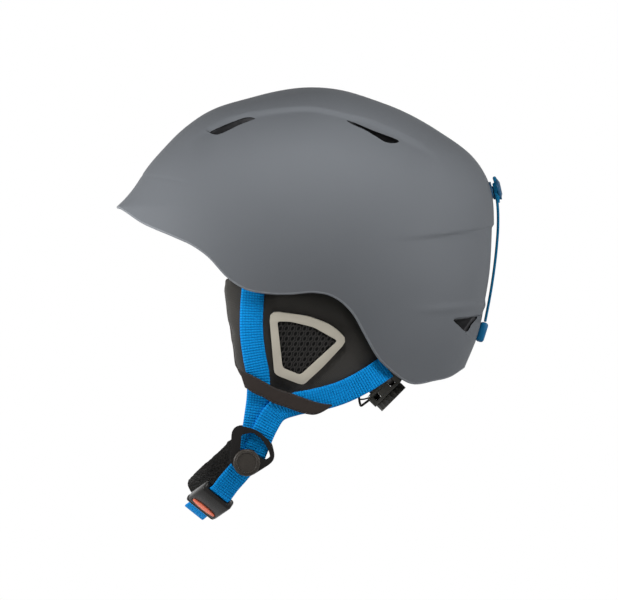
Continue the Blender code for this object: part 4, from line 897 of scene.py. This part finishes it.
def geometry_tree(name, inputs, build):
    """Geometry tree by name; build(start, given) gives its instances or mesh, which it dyes."""
    tree = bpy.data.node_groups.get(name)
    if tree:
        return tree
    tree = bpy.data.node_groups.new(name, "GeometryNodeTree")
    for label, kind in {"Geometry": "Geometry", **inputs, "Material": "Material"}.items():
        tree.interface.new_socket(label, in_out="INPUT", socket_type="NodeSocket" + kind)
    tree.interface.new_socket("Geometry", in_out="OUTPUT", socket_type="NodeSocketGeometry")
    start = Wire(tree)
    given = {socket.name: Wire(tree, socket) for socket in tree.nodes.new("NodeGroupInput").outputs}
    real = start.make("GeometryNodeRealizeInstances", None, {0: build(start, given)})
    dyed = start.make("GeometryNodeSetMaterial", None, {"Geometry": real, "Material": given["Material"]})
    start.feed(tree.nodes.new("NodeGroupOutput").inputs[0], dyed)
    return tree


def repeated(piece, tree, **values):
    """Run a geometry tree on a piece with named values, and keep the result as a plain mesh."""
    modifier = modified(piece, "NODES", node_group=tree)
    for item in tree.interface.items_tree:
        if item.name in values:
            modifier[item.identifier] = values[item.name]
    return settle(piece)


def ring_curve(start, radius, resolution):
    inputs = {"Resolution": resolution, "Radius": radius}
    return start.make("GeometryNodeCurvePrimitiveCircle", None, inputs, "Curve")


def stitch_tree():
    """Stitches laid along the edges of a line."""
    def build(start, given):
        line = start.make("GeometryNodeMeshToCurve", None, {0: given["Geometry"]})
        spaced = start.make("GeometryNodeResampleCurve", {"mode": "LENGTH"},
                            {"Curve": line, "Length": given["Pitch"]})
        round_bead = {"Segments": 8, "Rings": 5, "Radius": 0.5}
        bead = start.make("GeometryNodeMeshUVSphere", None, round_bead, "Mesh")
        size = start.make("ShaderNodeCombineXYZ", None,
                          {"X": given["Radius"], "Y": given["Radius"], "Z": given["Length"]})
        tangent = start.make("GeometryNodeInputTangent")
        turn = start.make("FunctionNodeAlignRotationToVector", {"axis": "Z"}, {"Vector": tangent})
        return start.make("GeometryNodeInstanceOnPoints", None,
                          {"Points": spaced, "Instance": bead, "Rotation": turn, "Scale": size})

    return geometry_tree("stitches", {"Pitch": "Float", "Length": "Float", "Radius": "Float"}, build)


def tube_tree():
    """Round tube along the edges of a line."""
    def build(start, given):
        line = start.make("GeometryNodeMeshToCurve", None, {0: given["Geometry"]})
        ring = ring_curve(start, given["Radius"], 12)
        return start.make("GeometryNodeCurveToMesh", None,
                          {"Curve": line, "Profile Curve": ring, "Fill Caps": True})

    return geometry_tree("tube", {"Radius": "Float"}, build)


def net_tree():
    """Slanted rings laid on points, which together make an open mesh."""
    def build(start, given):
        ring = ring_curve(start, given["Ring"], 8)
        drawn = start.make("GeometryNodeTransform", None, {"Geometry": ring, "Scale": (RING_SHAPE, 1.0, 1.0)})
        yarn = ring_curve(start, given["Yarn"], 5)
        skin = start.make("GeometryNodeCurveToMesh", None, {"Curve": drawn, "Profile Curve": yarn})
        points = start.make("GeometryNodeMeshToPoints", None, {"Mesh": given["Geometry"]})
        return start.make("GeometryNodeInstanceOnPoints", None,
                          {"Points": points, "Instance": skin, "Rotation": given["Turn"]})

    return geometry_tree("open_mesh", {"Ring": "Float", "Yarn": "Float", "Turn": "Rotation"}, build)


def line_piece(name, lines, closed=False):
    """Object with edges along lines of points in millimetres."""
    points = []
    edges = []
    for line in lines:
        first = len(points)
        points += [Vector(point) * MM for point in line]
        edges += [(i, i + 1) for i in range(first, len(points) - 1)]
        if closed:
            edges.append((len(points) - 1, first))
    mesh = bpy.data.meshes.new(name)
    mesh.from_pydata(points, edges, [])
    return linked(name, mesh)


def tube(name, line, radius, material, closed=False):
    """Tube along a line of points in millimetres."""
    piece = line_piece(name, [line], closed)
    repeated(piece, tube_tree(), Radius=radius, Material=material)
    reworked(piece.data, weld=TUBE_WELD, outwards=True)
    piece.data.shade_smooth()
    return piece


# Shell

def shell_point(angle, depth):
    """Point of the shell's plain outer surface, in millimetres."""
    root = math.sqrt(depth)
    along = math.cos(angle)
    if along > 0:
        reach = REAR_REACH(root)
    else:
        fall = min(max((depth - CREASE_DEPTH) / (TIP_DEPTH - CREASE_DEPTH), 0.0), 1.0)
        reach = FRONT_REACH(root) + BRIM_REACH * fall ** BRIM_CURL * abs(along) ** 3
    return Vector((APEX_X + along * reach, math.sin(angle) * SIDE_REACH(root), CROWN_TOP - depth))


def shell_normal(angle, depth):
    if depth < APEX_FLAT:
        return Vector((0, 0, 1))
    step = min(NORMAL_STEP, depth / 2)
    around = shell_point(angle + NORMAL_TURN, depth) - shell_point(angle - NORMAL_TURN, depth)
    down = shell_point(angle, depth + step) - shell_point(angle, depth - step)
    return down.cross(around).normalized()


def step_below(distance, width, fade):
    """Share of a step's depth at a distance below its edge: a short fall, then a long way back."""
    return eased(distance / width) * (1 - eased(distance / fade))


def shell_relief(point, settings):
    """How far the pressed shapes lift or sink the surface, in millimetres."""
    x = point.x
    ends = ramp(x, *CROWN_FRONT) * ramp(x, *CROWN_REAR)
    crown = step_below(CROWN_EDGE_HEIGHT(x) - point.z, *CROWN_FALL) * ends
    rear = step_below(REAR_STEP_HEIGHT(x) - point.z, *REAR_STEP_FALL) * ramp(x, *REAR_STEP_START)
    ridge = 1 - eased(abs(REAR_RIDGE_HEIGHT(x) - point.z) / RIDGE_HALF)
    crease = 1 - eased(abs(BROW_CREASE_HEIGHT(x) - point.z) / CREASE_HALF)
    relief = settings.rear_ridge * ridge * ramp(x, *RIDGE_START) - settings.crown_step * crown
    relief -= settings.rear_step * rear + settings.brow_crease * crease * ramp(x, *CREASE_START)
    return relief / MM


def shell_rim_depth(angle):
    high = CREASE_DEPTH
    low = REAR_PROFILE[-1][0]
    for _ in range(RIM_HALVINGS):
        middle = (high + low) / 2
        point = shell_point(angle, middle)
        if point.z > RIM_HEIGHT(point.x):
            high = middle
        else:
            low = middle
    return (high + low) / 2


def shell_spot(x, z, side):
    """Angle and depth of the point of the shell that the side view shows at a place."""
    depth = CROWN_TOP - z
    root = math.sqrt(depth)
    reach = REAR_REACH(root) if x > APEX_X else FRONT_REACH(root)
    return math.acos(min(max((x - APEX_X) / reach, -1.0), 1.0)) * side, depth


def smooth_loop(outline):
    """Closed curve through given points, with the same number of steps from each point to the next."""
    count = len(outline)
    curves = [smooth_curve(list(enumerate(values * 3))) for values in zip(*outline)]
    places = [count + i / VENT_STEPS for i in range(count * VENT_STEPS)]
    return [tuple(curve(place) for curve in curves) for place in places]


def vent_cutter(vent, side):
    """Points and faces of a cutter that slopes from a vent's lip to its slot, and then runs straight in."""
    lips, slots = [[shell_spot(x, z, side) for x, z in smooth_loop(outline)] for outline in vent]
    outward = shell_normal(*np.mean(slots, axis=0))
    lips = [shell_point(*spot) for spot in lips]
    slots = [shell_point(*spot) for spot in slots]
    rings = [
        [lip + (lip - slot) * VENT_FLARE + outward * VENT_OVERRUN for lip, slot in zip(lips, slots)],
        [lip + outward * VENT_LIP for lip in lips],
        [slot - outward * VENT_DEPTH for slot in slots],
        [slot - outward * VENT_REACH for slot in slots],
    ]
    return [point for ring in rings for point in ring], ring_faces(len(rings), len(lips))


class HELMET_OT_shell(bpy.types.Operator):
    """Build the shell's skin with its crown panel, pressed lines, vents and rim edge"""
    bl_idname = "helmet.shell"
    bl_label = "Shell"

    def execute(self, context):
        settings = context.scene.helmet_shell
        angles = [turn + COLUMN_SHIFT * math.sin(2 * turn) for turn in circle_turns(settings.columns)]
        rims = [shell_rim_depth(angle) for angle in angles]
        skin = self.skin(settings, angles, rims)
        self.cut_vents(skin)
        skin.data.shade_smooth()
        skin.data.set_sharp_from_angle(angle=SHELL_SHARP_ANGLE)
        keep(skin, "helmet", "outer_shell")
        wall = settings.wall / MM
        edge = [shell_point(*spot) - shell_normal(*spot) * wall * LIP_INSET for spot in zip(angles, rims)]
        # The rounded rim edge takes the lighter lip colour, a painted highlight along the rim
        lip = tube("shell_rim_edge", edge, wall * LIP_RADIUS * MM, lip_highlight_finish(), closed=True)
        keep(lip, "helmet")
        return {"FINISHED"}

    def skin(self, settings, angles, rims):
        columns = len(angles)
        wall = settings.wall / MM
        points = []
        faces = []
        edges = []
        for rows, outside in ((settings.rows, True), (settings.inner_rows, False)):
            first = len(points)
            points.append(Vector((APEX_X, 0, CROWN_TOP if outside else CROWN_TOP - wall)))
            for row in range(1, rows + 1):
                for angle, rim in zip(angles, rims):
                    depth = (row / rows) ** ROW_SPACING * rim
                    point = shell_point(angle, depth)
                    rise = shell_relief(point, settings) if outside else -wall
                    points.append(point + shell_normal(angle, depth) * rise)
            edges.append(len(points) - columns)
            for j in range(columns):
                k = (j + 1) % columns
                faces.append((first, first + 1 + j, first + 1 + k))
                for base in range(first + 1, edges[-1], columns):
                    faces.append((base + j, base + columns + j, base + columns + k, base + k))
        for j in range(columns):
            k = (j + 1) % columns
            faces.append((edges[0] + j, edges[1] + j, edges[1] + k, edges[0] + k))
        return new_piece("shell_skin", points, faces, shell_finish())

    def cut_vents(self, skin):
        points = []
        faces = []
        for vent in (FRONT_VENT, REAR_VENT, LOWER_VENT):
            for side in (-1, 1):
                more_points, more_faces = vent_cutter(vent, side)
                faces += [tuple(index + len(points) for index in face) for face in more_faces]
                points += more_points
        cutter = new_piece("vent_cutter", points, faces, shell_finish())
        modified(skin, "BOOLEAN", object=cutter, operation="DIFFERENCE")
        settle(skin)
        bpy.data.objects.remove(cutter, do_unlink=True)


# Ear side

def ear_out(x, z):
    """Distance in millimetres from the middle plane to the outer face of the ear pads."""
    above_plumb = max(z - EAR_PLUMB, 0.0)
    beyond = max(abs(x - EAR_FLAT_MIDDLE) - EAR_FLAT_HALF, 0.0)
    fall = EAR_TOP - EAR_PLUMB - above_plumb
    return EAR_OUT - EAR_TILT * fall - EAR_BOW * beyond ** 2 * min(above_plumb / EAR_BOW_FADE, 1.0)


def over_ear(x, z, lift, side):
    return Vector((x, side * (ear_out(x, z) + lift), z))


def frame_place(x, z, lift, side):
    """Point above the flat of an ear pad, in millimetres."""
    outward = Vector((0, side, -EAR_TILT)).normalized()
    on_plane = Vector((x, side * (EAR_OUT - EAR_TILT * (EAR_TOP - z)), z))
    return on_plane + outward * lift


def inside(outline, x, y):
    found = False
    for (x1, y1), (x2, y2) in zip(outline, outline[1:] + outline[:1]):
        if (y1 > y) != (y2 > y) and x < x1 + (y - y1) * (x2 - x1) / (y2 - y1):
            found = not found
    return found


def keep_cushion(piece, node):
    keep(piece, "helmet", node)


class HELMET_OT_liner(bpy.types.Operator):
    """Give the liner its foam, and blow up the comfort pads inside it"""
    bl_idname = "helmet.liner"
    bl_label = "Liner and comfort pads"

    def execute(self, context):
        settings = context.scene.helmet_padding
        liner = frame["nodes"]["foam_liner"]
        liner.data.materials.clear()
        liner.data.materials.append(foam_finish())
        voxel = settings.voxel * COMFORT_VOXEL
        swell = settings.swell * COMFORT_SWELL
        for node in ("crown_pad", "brow_pad", "nape_pad", "side_pad_left"):
            pad = swollen(node + "_cushion", node, pad_finish(), voxel, swell)
            keep_cushion(pad, node)
        keep_cushion(mirrored(pad, "side_pad_right_cushion"), "side_pad_right")
        return {"FINISHED"}


class HELMET_OT_ear_pads(bpy.types.Operator):
    """Blow up the ear pads and run piping round them"""
    bl_idname = "helmet.ear_pads"
    bl_label = "Ear pads"

    def execute(self, context):
        settings = context.scene.helmet_padding
        left = swollen("ear_pad_left_cushion", "ear_pad_left", pad_finish(), settings.voxel, settings.swell)
        for vertex in left.data.vertices:
            vertex.co.x -= settings.front_edge * ramp(vertex.co.x / MM, EAR_FRONT, -EAR_FRONT_RUN)
        right = mirrored(left, "ear_pad_right_cushion")
        for piece, node, side in ((left, "ear_pad_left", -1), (right, "ear_pad_right", 1)):
            bpy.context.view_layer.update()
            self.piping(piece, node + "_piping", side, settings.piping)
            keep_cushion(piece, node)
        return {"FINISHED"}

    def piping(self, cushion, name, side, radius):
        """Piping along the seam that runs down the front of a pad and round its lower edge."""
        seam = []
        for x, z in smooth_route(EAR_LOWER_EDGE, SEAM_STEPS):
            seam.append(cushion.closest_point_on_mesh(over_ear(x, z, -SEAM_DEPTH, side) * MM)[1] / MM)
        keep(tube(name, seam, radius, piping_finish()), "helmet")


class HELMET_OT_ear_frames(bpy.types.Operator):
    """Round the pale frames and fill them with open mesh"""
    bl_idname = "helmet.ear_frames"
    bl_label = "Ear frames and mesh"

    def execute(self, context):
        colour = context.scene.helmet_fittings.frame
        pale = plain_finish("satin_ear_frame", colour, 0.4, 1400.0, Coat_Weight=0.1)
        for node in both_sides("ear_frame"):
            moulded(node, pale, FRAME_EDGE * MM, "helmet")
        for side, node in zip((-1, 1), both_sides("ear_mesh")):
            self.net(node, side, context.scene.helmet_padding)
        return {"FINISHED"}

    def net(self, node, side, padding):
        """Rings of yarn in staggered rows, over a dark sheet, both inside the frame."""
        xs, zs = zip(*FRAME_INNER)
        spots = []
        for row, z in enumerate(np.arange(min(zs), max(zs), padding.mesh_rows / MM)):
            shift = (row % 2) * padding.mesh_across / 2 / MM
            for x in np.arange(min(xs) + shift, max(xs), padding.mesh_across / MM):
                if inside(FRAME_INNER, x, z):
                    spots.append(frame_place(x, z, NET_LIFT, side))
        net = line_piece(node + "_net", [[spot] for spot in spots])
        outward = Vector((0, side, -EAR_TILT)).normalized()
        up = Vector((0, side * EAR_TILT, 1)).normalized()
        facing = Matrix((up.cross(outward), up, outward)).transposed()
        slant = Matrix.Rotation(RING_SLANT * side, 3, outward) @ facing
        repeated(net, net_tree(), Ring=padding.mesh_ring, Yarn=padding.mesh_yarn, Turn=slant.to_euler(),
                 Material=mesh_finish("spacer_mesh_yarn", padding.mesh))
        net.data.shade_smooth()
        keep(net, "helmet", node)
        ends = [[frame_place(x, z, lift, side) for x, z in FRAME_INNER] for lift in BACKING_LIFTS]
        backing = prism(node + "_backing", ends, mesh_finish("spacer_mesh_back", padding.mesh_back))
        keep(backing, "helmet")


# Webbing

def ear_strap(name, node, centre_line, lift, side):
    """Webbing over an ear pad."""
    route = smooth_route(centre_line, STRAP_STEPS)
    across = [Vector((-along.y, along.x)) for along in directions(route)]

    def place(i, aside, out):
        point = route[i] + across[i] * aside
        return over_ear(point.x, point.y, lift + out, side)

    strap = swept(name, place, distances(route), strap_outline(), webbing_finish())
    keep(strap, "helmet", node)


def stitches(name, lines):
    """Rows of dark stitches along lines of points in millimetres."""
    length = bpy.context.scene.helmet_webbing.stitch
    piece = line_piece(name, lines)
    repeated(piece, stitch_tree(), Pitch=length * STITCH_PITCH, Length=length, Radius=STITCH_WIDTH * MM,
             Material=dark_thread_finish())
    piece.data.shade_smooth()
    keep(piece, "helmet")


def binding_band(name, node, side):
    """Band over both straps at the lower edge of an ear pad, with a row of stitches near each edge."""
    upper, lower = [smooth_route(edge, BAND_STEPS) for edge in (BAND_UPPER, BAND_LOWER)]
    middle = [(a + b) / 2 for a, b in zip(upper, lower)]

    def place(i, aside, out):
        point = middle[i] + (upper[i] - lower[i]) * aside
        return over_ear(point.x, point.y, BAND_LIFT + out, side)

    outline = band_outline(0.5, BAND_THICKNESS, BAND_INSET, (0.5,))
    band = swept(name, place, distances(middle), outline, binding_finish())
    keep(band, "helmet", node)
    lines = [[place(i, share, BAND_THICKNESS) for i in STITCHED] for share in (STITCH_SHARE, -STITCH_SHARE)]
    stitches(name + "_stitches", lines)


def frame_from(x_axis, y_axis, origin):
    x_axis = Vector(x_axis).normalized()
    z_axis = x_axis.cross(Vector(y_axis)).normalized()
    y_axis = z_axis.cross(x_axis)
    return Matrix.Translation(origin) @ Matrix((x_axis, y_axis, z_axis)).transposed().to_4x4()


BUCKLE_PLACE = Vector((CHIN_ENTRY[0], CHIN_ENTRY[2] - CHIN_OUT, CHIN_ENTRY[1]))
BUCKLE_FRAME = frame_from(BUCKLE_AXIS, BUCKLE_ACROSS, BUCKLE_PLACE)
CHIN_DOWN = Vector((CHIN_RUN[0][0] - STUD[0], 0, CHIN_RUN[0][1] - STUD[1])).normalized()
STUD_ACROSS = Vector((-CHIN_DOWN.z, 0, CHIN_DOWN.x))


def in_buckle(along, across=0, out=0):
    return BUCKLE_FRAME @ Vector((along, across, out))


def chin_start(side):
    """Chin webbing from above the stud down to where the two sides part."""
    stud = Vector((STUD[0], side * CHIN_OUT, STUD[1]))
    points = [stud - CHIN_DOWN * CHIN_TOP, stud]
    return points + [Vector((x, side * (CHIN_OUT - inward), z)) for x, z, inward in CHIN_RUN]


def chin_band(name, points, steps):
    """Chin webbing along a route, turning evenly from the stud's slant to the buckle's."""
    route = smooth_route(points, steps)
    last = BUCKLE_FRAME.to_3x3() @ Vector((0, 1, 0))
    turned = CHIN_TURN_SHARE * (steps - 1)
    sides = []
    fronts = []
    for i, along in enumerate(directions(route)):
        across = STUD_ACROSS.lerp(last, min(i / turned, 1.0))
        sides.append((across - along * across.dot(along)).normalized())
        fronts.append(along.cross(sides[-1]))

    def place(i, aside, out):
        return route[i] + sides[i] * aside + fronts[i] * (out - STRAP_THICKNESS / 2)

    return swept(name, place, distances(route), strap_outline(), webbing_finish())


class HELMET_OT_webbing(bpy.types.Operator):
    """Weave the straps, the bands over the ear pads and the chin webbing"""
    bl_idname = "helmet.webbing"
    bl_label = "Webbing"

    def execute(self, context):
        for side, name in ((-1, "_left"), (1, "_right")):
            ear_strap("front_webbing" + name, "front_strap" + name, FRONT_STRAP, FRONT_LIFT, side)
            ear_strap("rear_webbing" + name, "rear_strap" + name, REAR_STRAP, REAR_LIFT, side)
            binding_band("ear_binding" + name, "ear_band" + name, side)
            for node in ("front_anchor" + name, "rear_anchor" + name):
                moulded(node, plastic_finish(), context.scene.helmet_fittings.edge, "helmet")
        lead_in = [in_buckle(-STRAP_LEAD), in_buckle(0), in_buckle(STRAP_SEAT)]
        left = chin_band("chin_webbing_left", chin_start(-1) + lead_in, CHIN_LEFT_STEPS)
        keep(left, "chin_strap", "chin_strap_left")
        crossing = [Vector(point) for point in CHIN_CROSS]
        tail = [in_buckle(TONGUE_END + STRAP_LEAD), in_buckle(TONGUE_END - STRAP_SEAT)]
        right_points = chin_start(1)[:-1] + crossing + tail
        right = chin_band("chin_webbing_right", right_points, CHIN_RIGHT_STEPS)
        tail[0] * MM
        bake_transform(right)
        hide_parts("chin_strap_right")
        return {"FINISHED"}


class HELMET_OT_chin_pad(bpy.types.Operator):
    """Blow up the fleece pad on the chin webbing"""
    bl_idname = "helmet.chin_pad"
    bl_label = "Chin pad"

    def execute(self, context):
        settings = context.scene.helmet_padding
        voxel = settings.voxel * CHIN_VOXEL
        swell = settings.swell * CHIN_SWELL
        pad = swollen("chin_pad_fleece", "chin_pad", fleece_finish(), voxel, swell)
        keep(pad, "chin_strap", "chin_pad")
        return {"FINISHED"}


class HELMET_OT_buckle(bpy.types.Operator):
    """Round and finish the strap dividers, their studs and the buckle"""
    bl_idname = "helmet.buckle"
    bl_label = "Dividers and buckle"

    def execute(self, context):
        settings = context.scene.helmet_fittings
        brown = plain_finish("brown_stud_moulding", settings.stud, 0.4, Specular_IOR_Level=0.2)
        for node in both_sides("strap_ring"):
            moulded(node, plastic_finish(), settings.edge, "helmet")
        for side, node in zip((-1, 1), both_sides("ring_stud")):
            moulded(node, brown, settings.edge, "helmet")
            circle = []
            for turn in circle_turns(STUD_RING_STEPS):
                circle.append(Vector((STUD[0] + STUD_RING * math.cos(turn), side * STUD_FACE,
                                      STUD[1] + STUD_RING * math.sin(turn))))
            raised = tube(node + "_raised_ring", circle, STUD_RING_RADIUS * MM, brown, closed=True)
            keep(raised, "helmet")
        gloss = plain_finish("black_buckle_moulding", settings.plastic, 0.3, 700.0, Specular_IOR_Level=0.2)
        moulded("buckle_housing", gloss, settings.edge, "chin_strap")
        moulded("buckle_tongue", gloss, settings.edge, "buckle_tongue")
        orange = plain_finish("release_button_plastic", settings.button, 0.35)
        moulded("release_button", orange, settings.edge, "release_button")
        self.spring()
        return {"FINISHED"}

    def spring(self):
        """Leaf spring, copied in plated steel from its CAD node; the floor of its well is worked out but not
        used.
        """
        leaf = solid_copy("release_spring_leaf", "release_spring")
        leaf.data.materials.append(steel_finish())
        inward = in_buckle(0) - in_buckle(0, 0, 1)
        deepest = max((vertex.co for vertex in leaf.data.vertices), key=inward.dot)
        well_floor = deepest + inward * SPRING_GAP * MM
        keep(leaf, "chin_strap", "release_spring")
        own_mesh(leaf)


class HELMET_OT_fit_system(bpy.types.Operator):
    """Round and finish the fit dial and its works"""
    bl_idname = "helmet.fit_system"
    bl_label = "Fit system"

    def execute(self, context):
        settings = context.scene.helmet_fittings
        fit_plastic = plain_finish("fit_unit_moulding", settings.fit_unit, 0.42, Specular_IOR_Level=0.2)
        for node in ("fit_base", "fit_cover", "fit_hanger"):
            moulded(node, fit_plastic, settings.edge * FIT_EDGE, "helmet")
        for node in ("fit_dial", "fit_pinion"):
            moulded(node, fit_plastic, settings.edge * DIAL_EDGE, "fit_dial")
        for node in both_sides("fit_band"):
            moulded(node, plastic_finish(), settings.edge * DIAL_EDGE, node)
        for node in both_sides("fit_screw"):
            moulded(node, steel_finish(), settings.edge * SCREW_EDGE, "helmet")
        placing = frame_from((0, 1, 0), (1, 0, 1), FIT_PLACE)
        for i, (low, high) in enumerate(FIT_FILLINGS):
            corners = [low[:2], (high[0], low[1]), high[:2], (low[0], high[1])]
            ends = [[placing @ Vector((*corner, level)) for corner in corners] for level in (low[2], high[2])]
            keep(prism("fit_filling_%d" % i, ends, fit_plastic), "helmet")
        bow = tube("fit_loop", smooth_route(FIT_LOOP, LOOP_STEPS), LOOP_RADIUS * MM, plastic_finish())
        bar = tube("fit_loop_bar", smooth_route(FIT_LOOP_BAR, LOOP_STEPS), BAR_RADIUS * MM, plastic_finish())
        for wire in (bow, bar):
            keep(wire, "helmet")
        return {"FINISHED"}


class HELMET_OT_retainer(bpy.types.Operator):
    """Finish the goggle retainer's hook and clip, and braid its elastic"""
    bl_idname = "helmet.retainer"
    bl_label = "Goggle retainer"

    def execute(self, context):
        settings = context.scene.helmet_fittings
        for node, colour in (("retainer_hook", settings.hook), ("retainer_anchor", settings.clip)):
            plastic = plain_finish(node + "_plastic", colour, 0.42, 1100.0, Specular_IOR_Level=0.2)
            moulded(node, plastic, settings.edge * HOOK_EDGE, "helmet")
        ends = [[(x, y, z) for x, z in HOOK_SADDLE] for y in (-SADDLE_HALF, SADDLE_HALF)]
        saddle = prism("retainer_hook_saddle", ends, bpy.data.materials["retainer_hook_plastic"])
        keep(saddle, "helmet")
        pull = tube("retainer_pull", smooth_route(RETAINER_PULL, PULL_STEPS), PULL_RADIUS * MM, cord_finish())
        keep(pull, "retainer_cord")
        elastic = solid_copy("retainer_elastic", "retainer_cord")
        modified(elastic, "SUBSURF", levels=2, render_levels=2)
        coated(settle(elastic), cord_finish())
        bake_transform(elastic)
        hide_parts("retainer_cord")
        return {"FINISHED"}


class HELMET_OT_stage(bpy.types.Operator):
    """Set up the floor, the lights and the camera"""
    bl_idname = "helmet.stage"
    bl_label = "Stage"

    def execute(self, context):
        scene = context.scene
        settings = scene.helmet_stage
        scene.view_settings.view_transform = "Standard"
        self.camera(scene, settings)
        self.floor(settings)
        self.world(scene, settings)
        for name, place, target, power in LAMPS:
            lamp = self.lamp(name, Vector(place) * MM, Vector(target) * MM, power, settings.lamp_size)
            lamp.visible_glossy = not name.startswith("far_")
        return {"FINISHED"}

    def camera(self, scene, settings):
        data = bpy.data.cameras.new("camera")
        data.lens = settings.lens
        data.sensor_width = 36.0
        data.sensor_fit = "HORIZONTAL"
        distance = settings.view_width * settings.lens / data.sensor_width
        camera = linked("camera", data)
        away = Vector((0, -math.cos(settings.elevation), math.sin(settings.elevation)))
        camera.location = Vector(VIEW_CENTRE) * MM + away * distance
        camera.rotation_euler = (-away).to_track_quat("-Z", "Y").to_euler()
        scene.camera = camera

    def lamp(self, name, place, target, power, size):
        data = bpy.data.lights.new(name, "AREA")
        data.shape = "DISK"
        data.size = size
        data.energy = power
        lamp = linked(name, data)
        lamp.location = place
        lamp.rotation_euler = (target - lamp.location).to_track_quat("-Z", "Y").to_euler()
        return lamp

    def floor(self, settings):
        half = FLOOR_HALF
        corners = [(-half, -half, 0), (half, -half, 0), (half, half, 0), (-half, half, 0)]
        mesh = bpy.data.meshes.new("floor")
        mesh.from_pydata(corners, [], [(0, 1, 2, 3)])
        floor = linked("floor", mesh)
        floor.location = (0, 0, CAD_BOX[0][2] - settings.floor)
        material = bpy.data.materials.new("pale_floor")
        material.use_nodes = True
        tree = material.node_tree
        shader = tree.nodes["Principled BSDF"]
        shader.inputs["Base Color"].default_value = (0.7, 0.7, 0.7, 1.0)
        shader.inputs["Roughness"].default_value = 0.9
        start = Wire(tree)
        seen = self.seen_directly(start)
        white = start.make("ShaderNodeEmission", None, {"Color": (1, 1, 1, 1), "Strength": 1.0})
        matte = Wire(tree, shader.outputs[0])
        reach = start.make("ShaderNodeVectorMath", {"operation": "LENGTH"}, {0: object_place(start)}, "Value")
        far = reach.maths("MINIMUM", reach / settings.floor_fade, 1.0)
        shown = start.make("ShaderNodeMixShader", None, {0: seen * (0.9 + 0.1 * far), 1: matte, 2: white})
        start.feed(tree.nodes["Material Output"].inputs["Surface"], shown)
        mesh.materials.append(material)

    def seen_directly(self, start):
        """1 for what the camera, a reflection or a clear piece sees of the surroundings."""
        rays = [start.make("ShaderNodeLightPath", None, None, name)
                for name in ("Is Camera Ray", "Is Glossy Ray", "Is Transmission Ray")]
        return rays[0].maths("MINIMUM", rays[0] + rays[1] + rays[2], 1.0)

    def world(self, scene, settings):
        world = bpy.data.worlds.new("studio")
        scene.world = world
        world.use_nodes = True
        start = Wire(world.node_tree)
        backgrounds = []
        for strength in (settings.ambient, 1.0):
            inputs = {"Color": (1, 1, 1, 1), "Strength": strength}
            backgrounds.append(start.make("ShaderNodeBackground", None, inputs))
        light, white = backgrounds
        shown = start.make("ShaderNodeMixShader", None, {0: self.seen_directly(start), 1: light, 2: white})
        start.feed(world.node_tree.nodes["World Output"].inputs["Surface"], shown)


OPERATORS = (
    HELMET_OT_stage,
    HELMET_OT_shell,
    HELMET_OT_liner,
    HELMET_OT_ear_pads,
    HELMET_OT_ear_frames,
    HELMET_OT_webbing,
    HELMET_OT_chin_pad,
    HELMET_OT_buckle,
    HELMET_OT_fit_system,
    HELMET_OT_retainer,
)


class HELMET_PT_panel(bpy.types.Panel):
    """Sidebar panel with the helmet's pieces"""
    bl_label = "Ski helmet"
    bl_idname = "HELMET_PT_panel"
    bl_space_type = "VIEW_3D"
    bl_region_type = "UI"
    bl_category = "Helmet"

    def draw(self, context):
        for operator in OPERATORS:
            self.layout.operator(operator.bl_idname)


def register():
    for name, group in SETTINGS.items():
        bpy.utils.register_class(group)
        setattr(bpy.types.Scene, name, PointerProperty(type=group))
    for operator in OPERATORS:
        bpy.utils.register_class(operator)
    bpy.utils.register_class(HELMET_PT_panel)


def unregister():
    bpy.utils.unregister_class(HELMET_PT_panel)
    for operator in reversed(OPERATORS):
        bpy.utils.unregister_class(operator)
    for name, group in SETTINGS.items():
        delattr(bpy.types.Scene, name)
        bpy.utils.unregister_class(group)


def main():
    register()
    for operator in OPERATORS:
        family, name = operator.bl_idname.split(".")
        getattr(getattr(bpy.ops, family), name)()


if __name__ == "__main__":
    main()
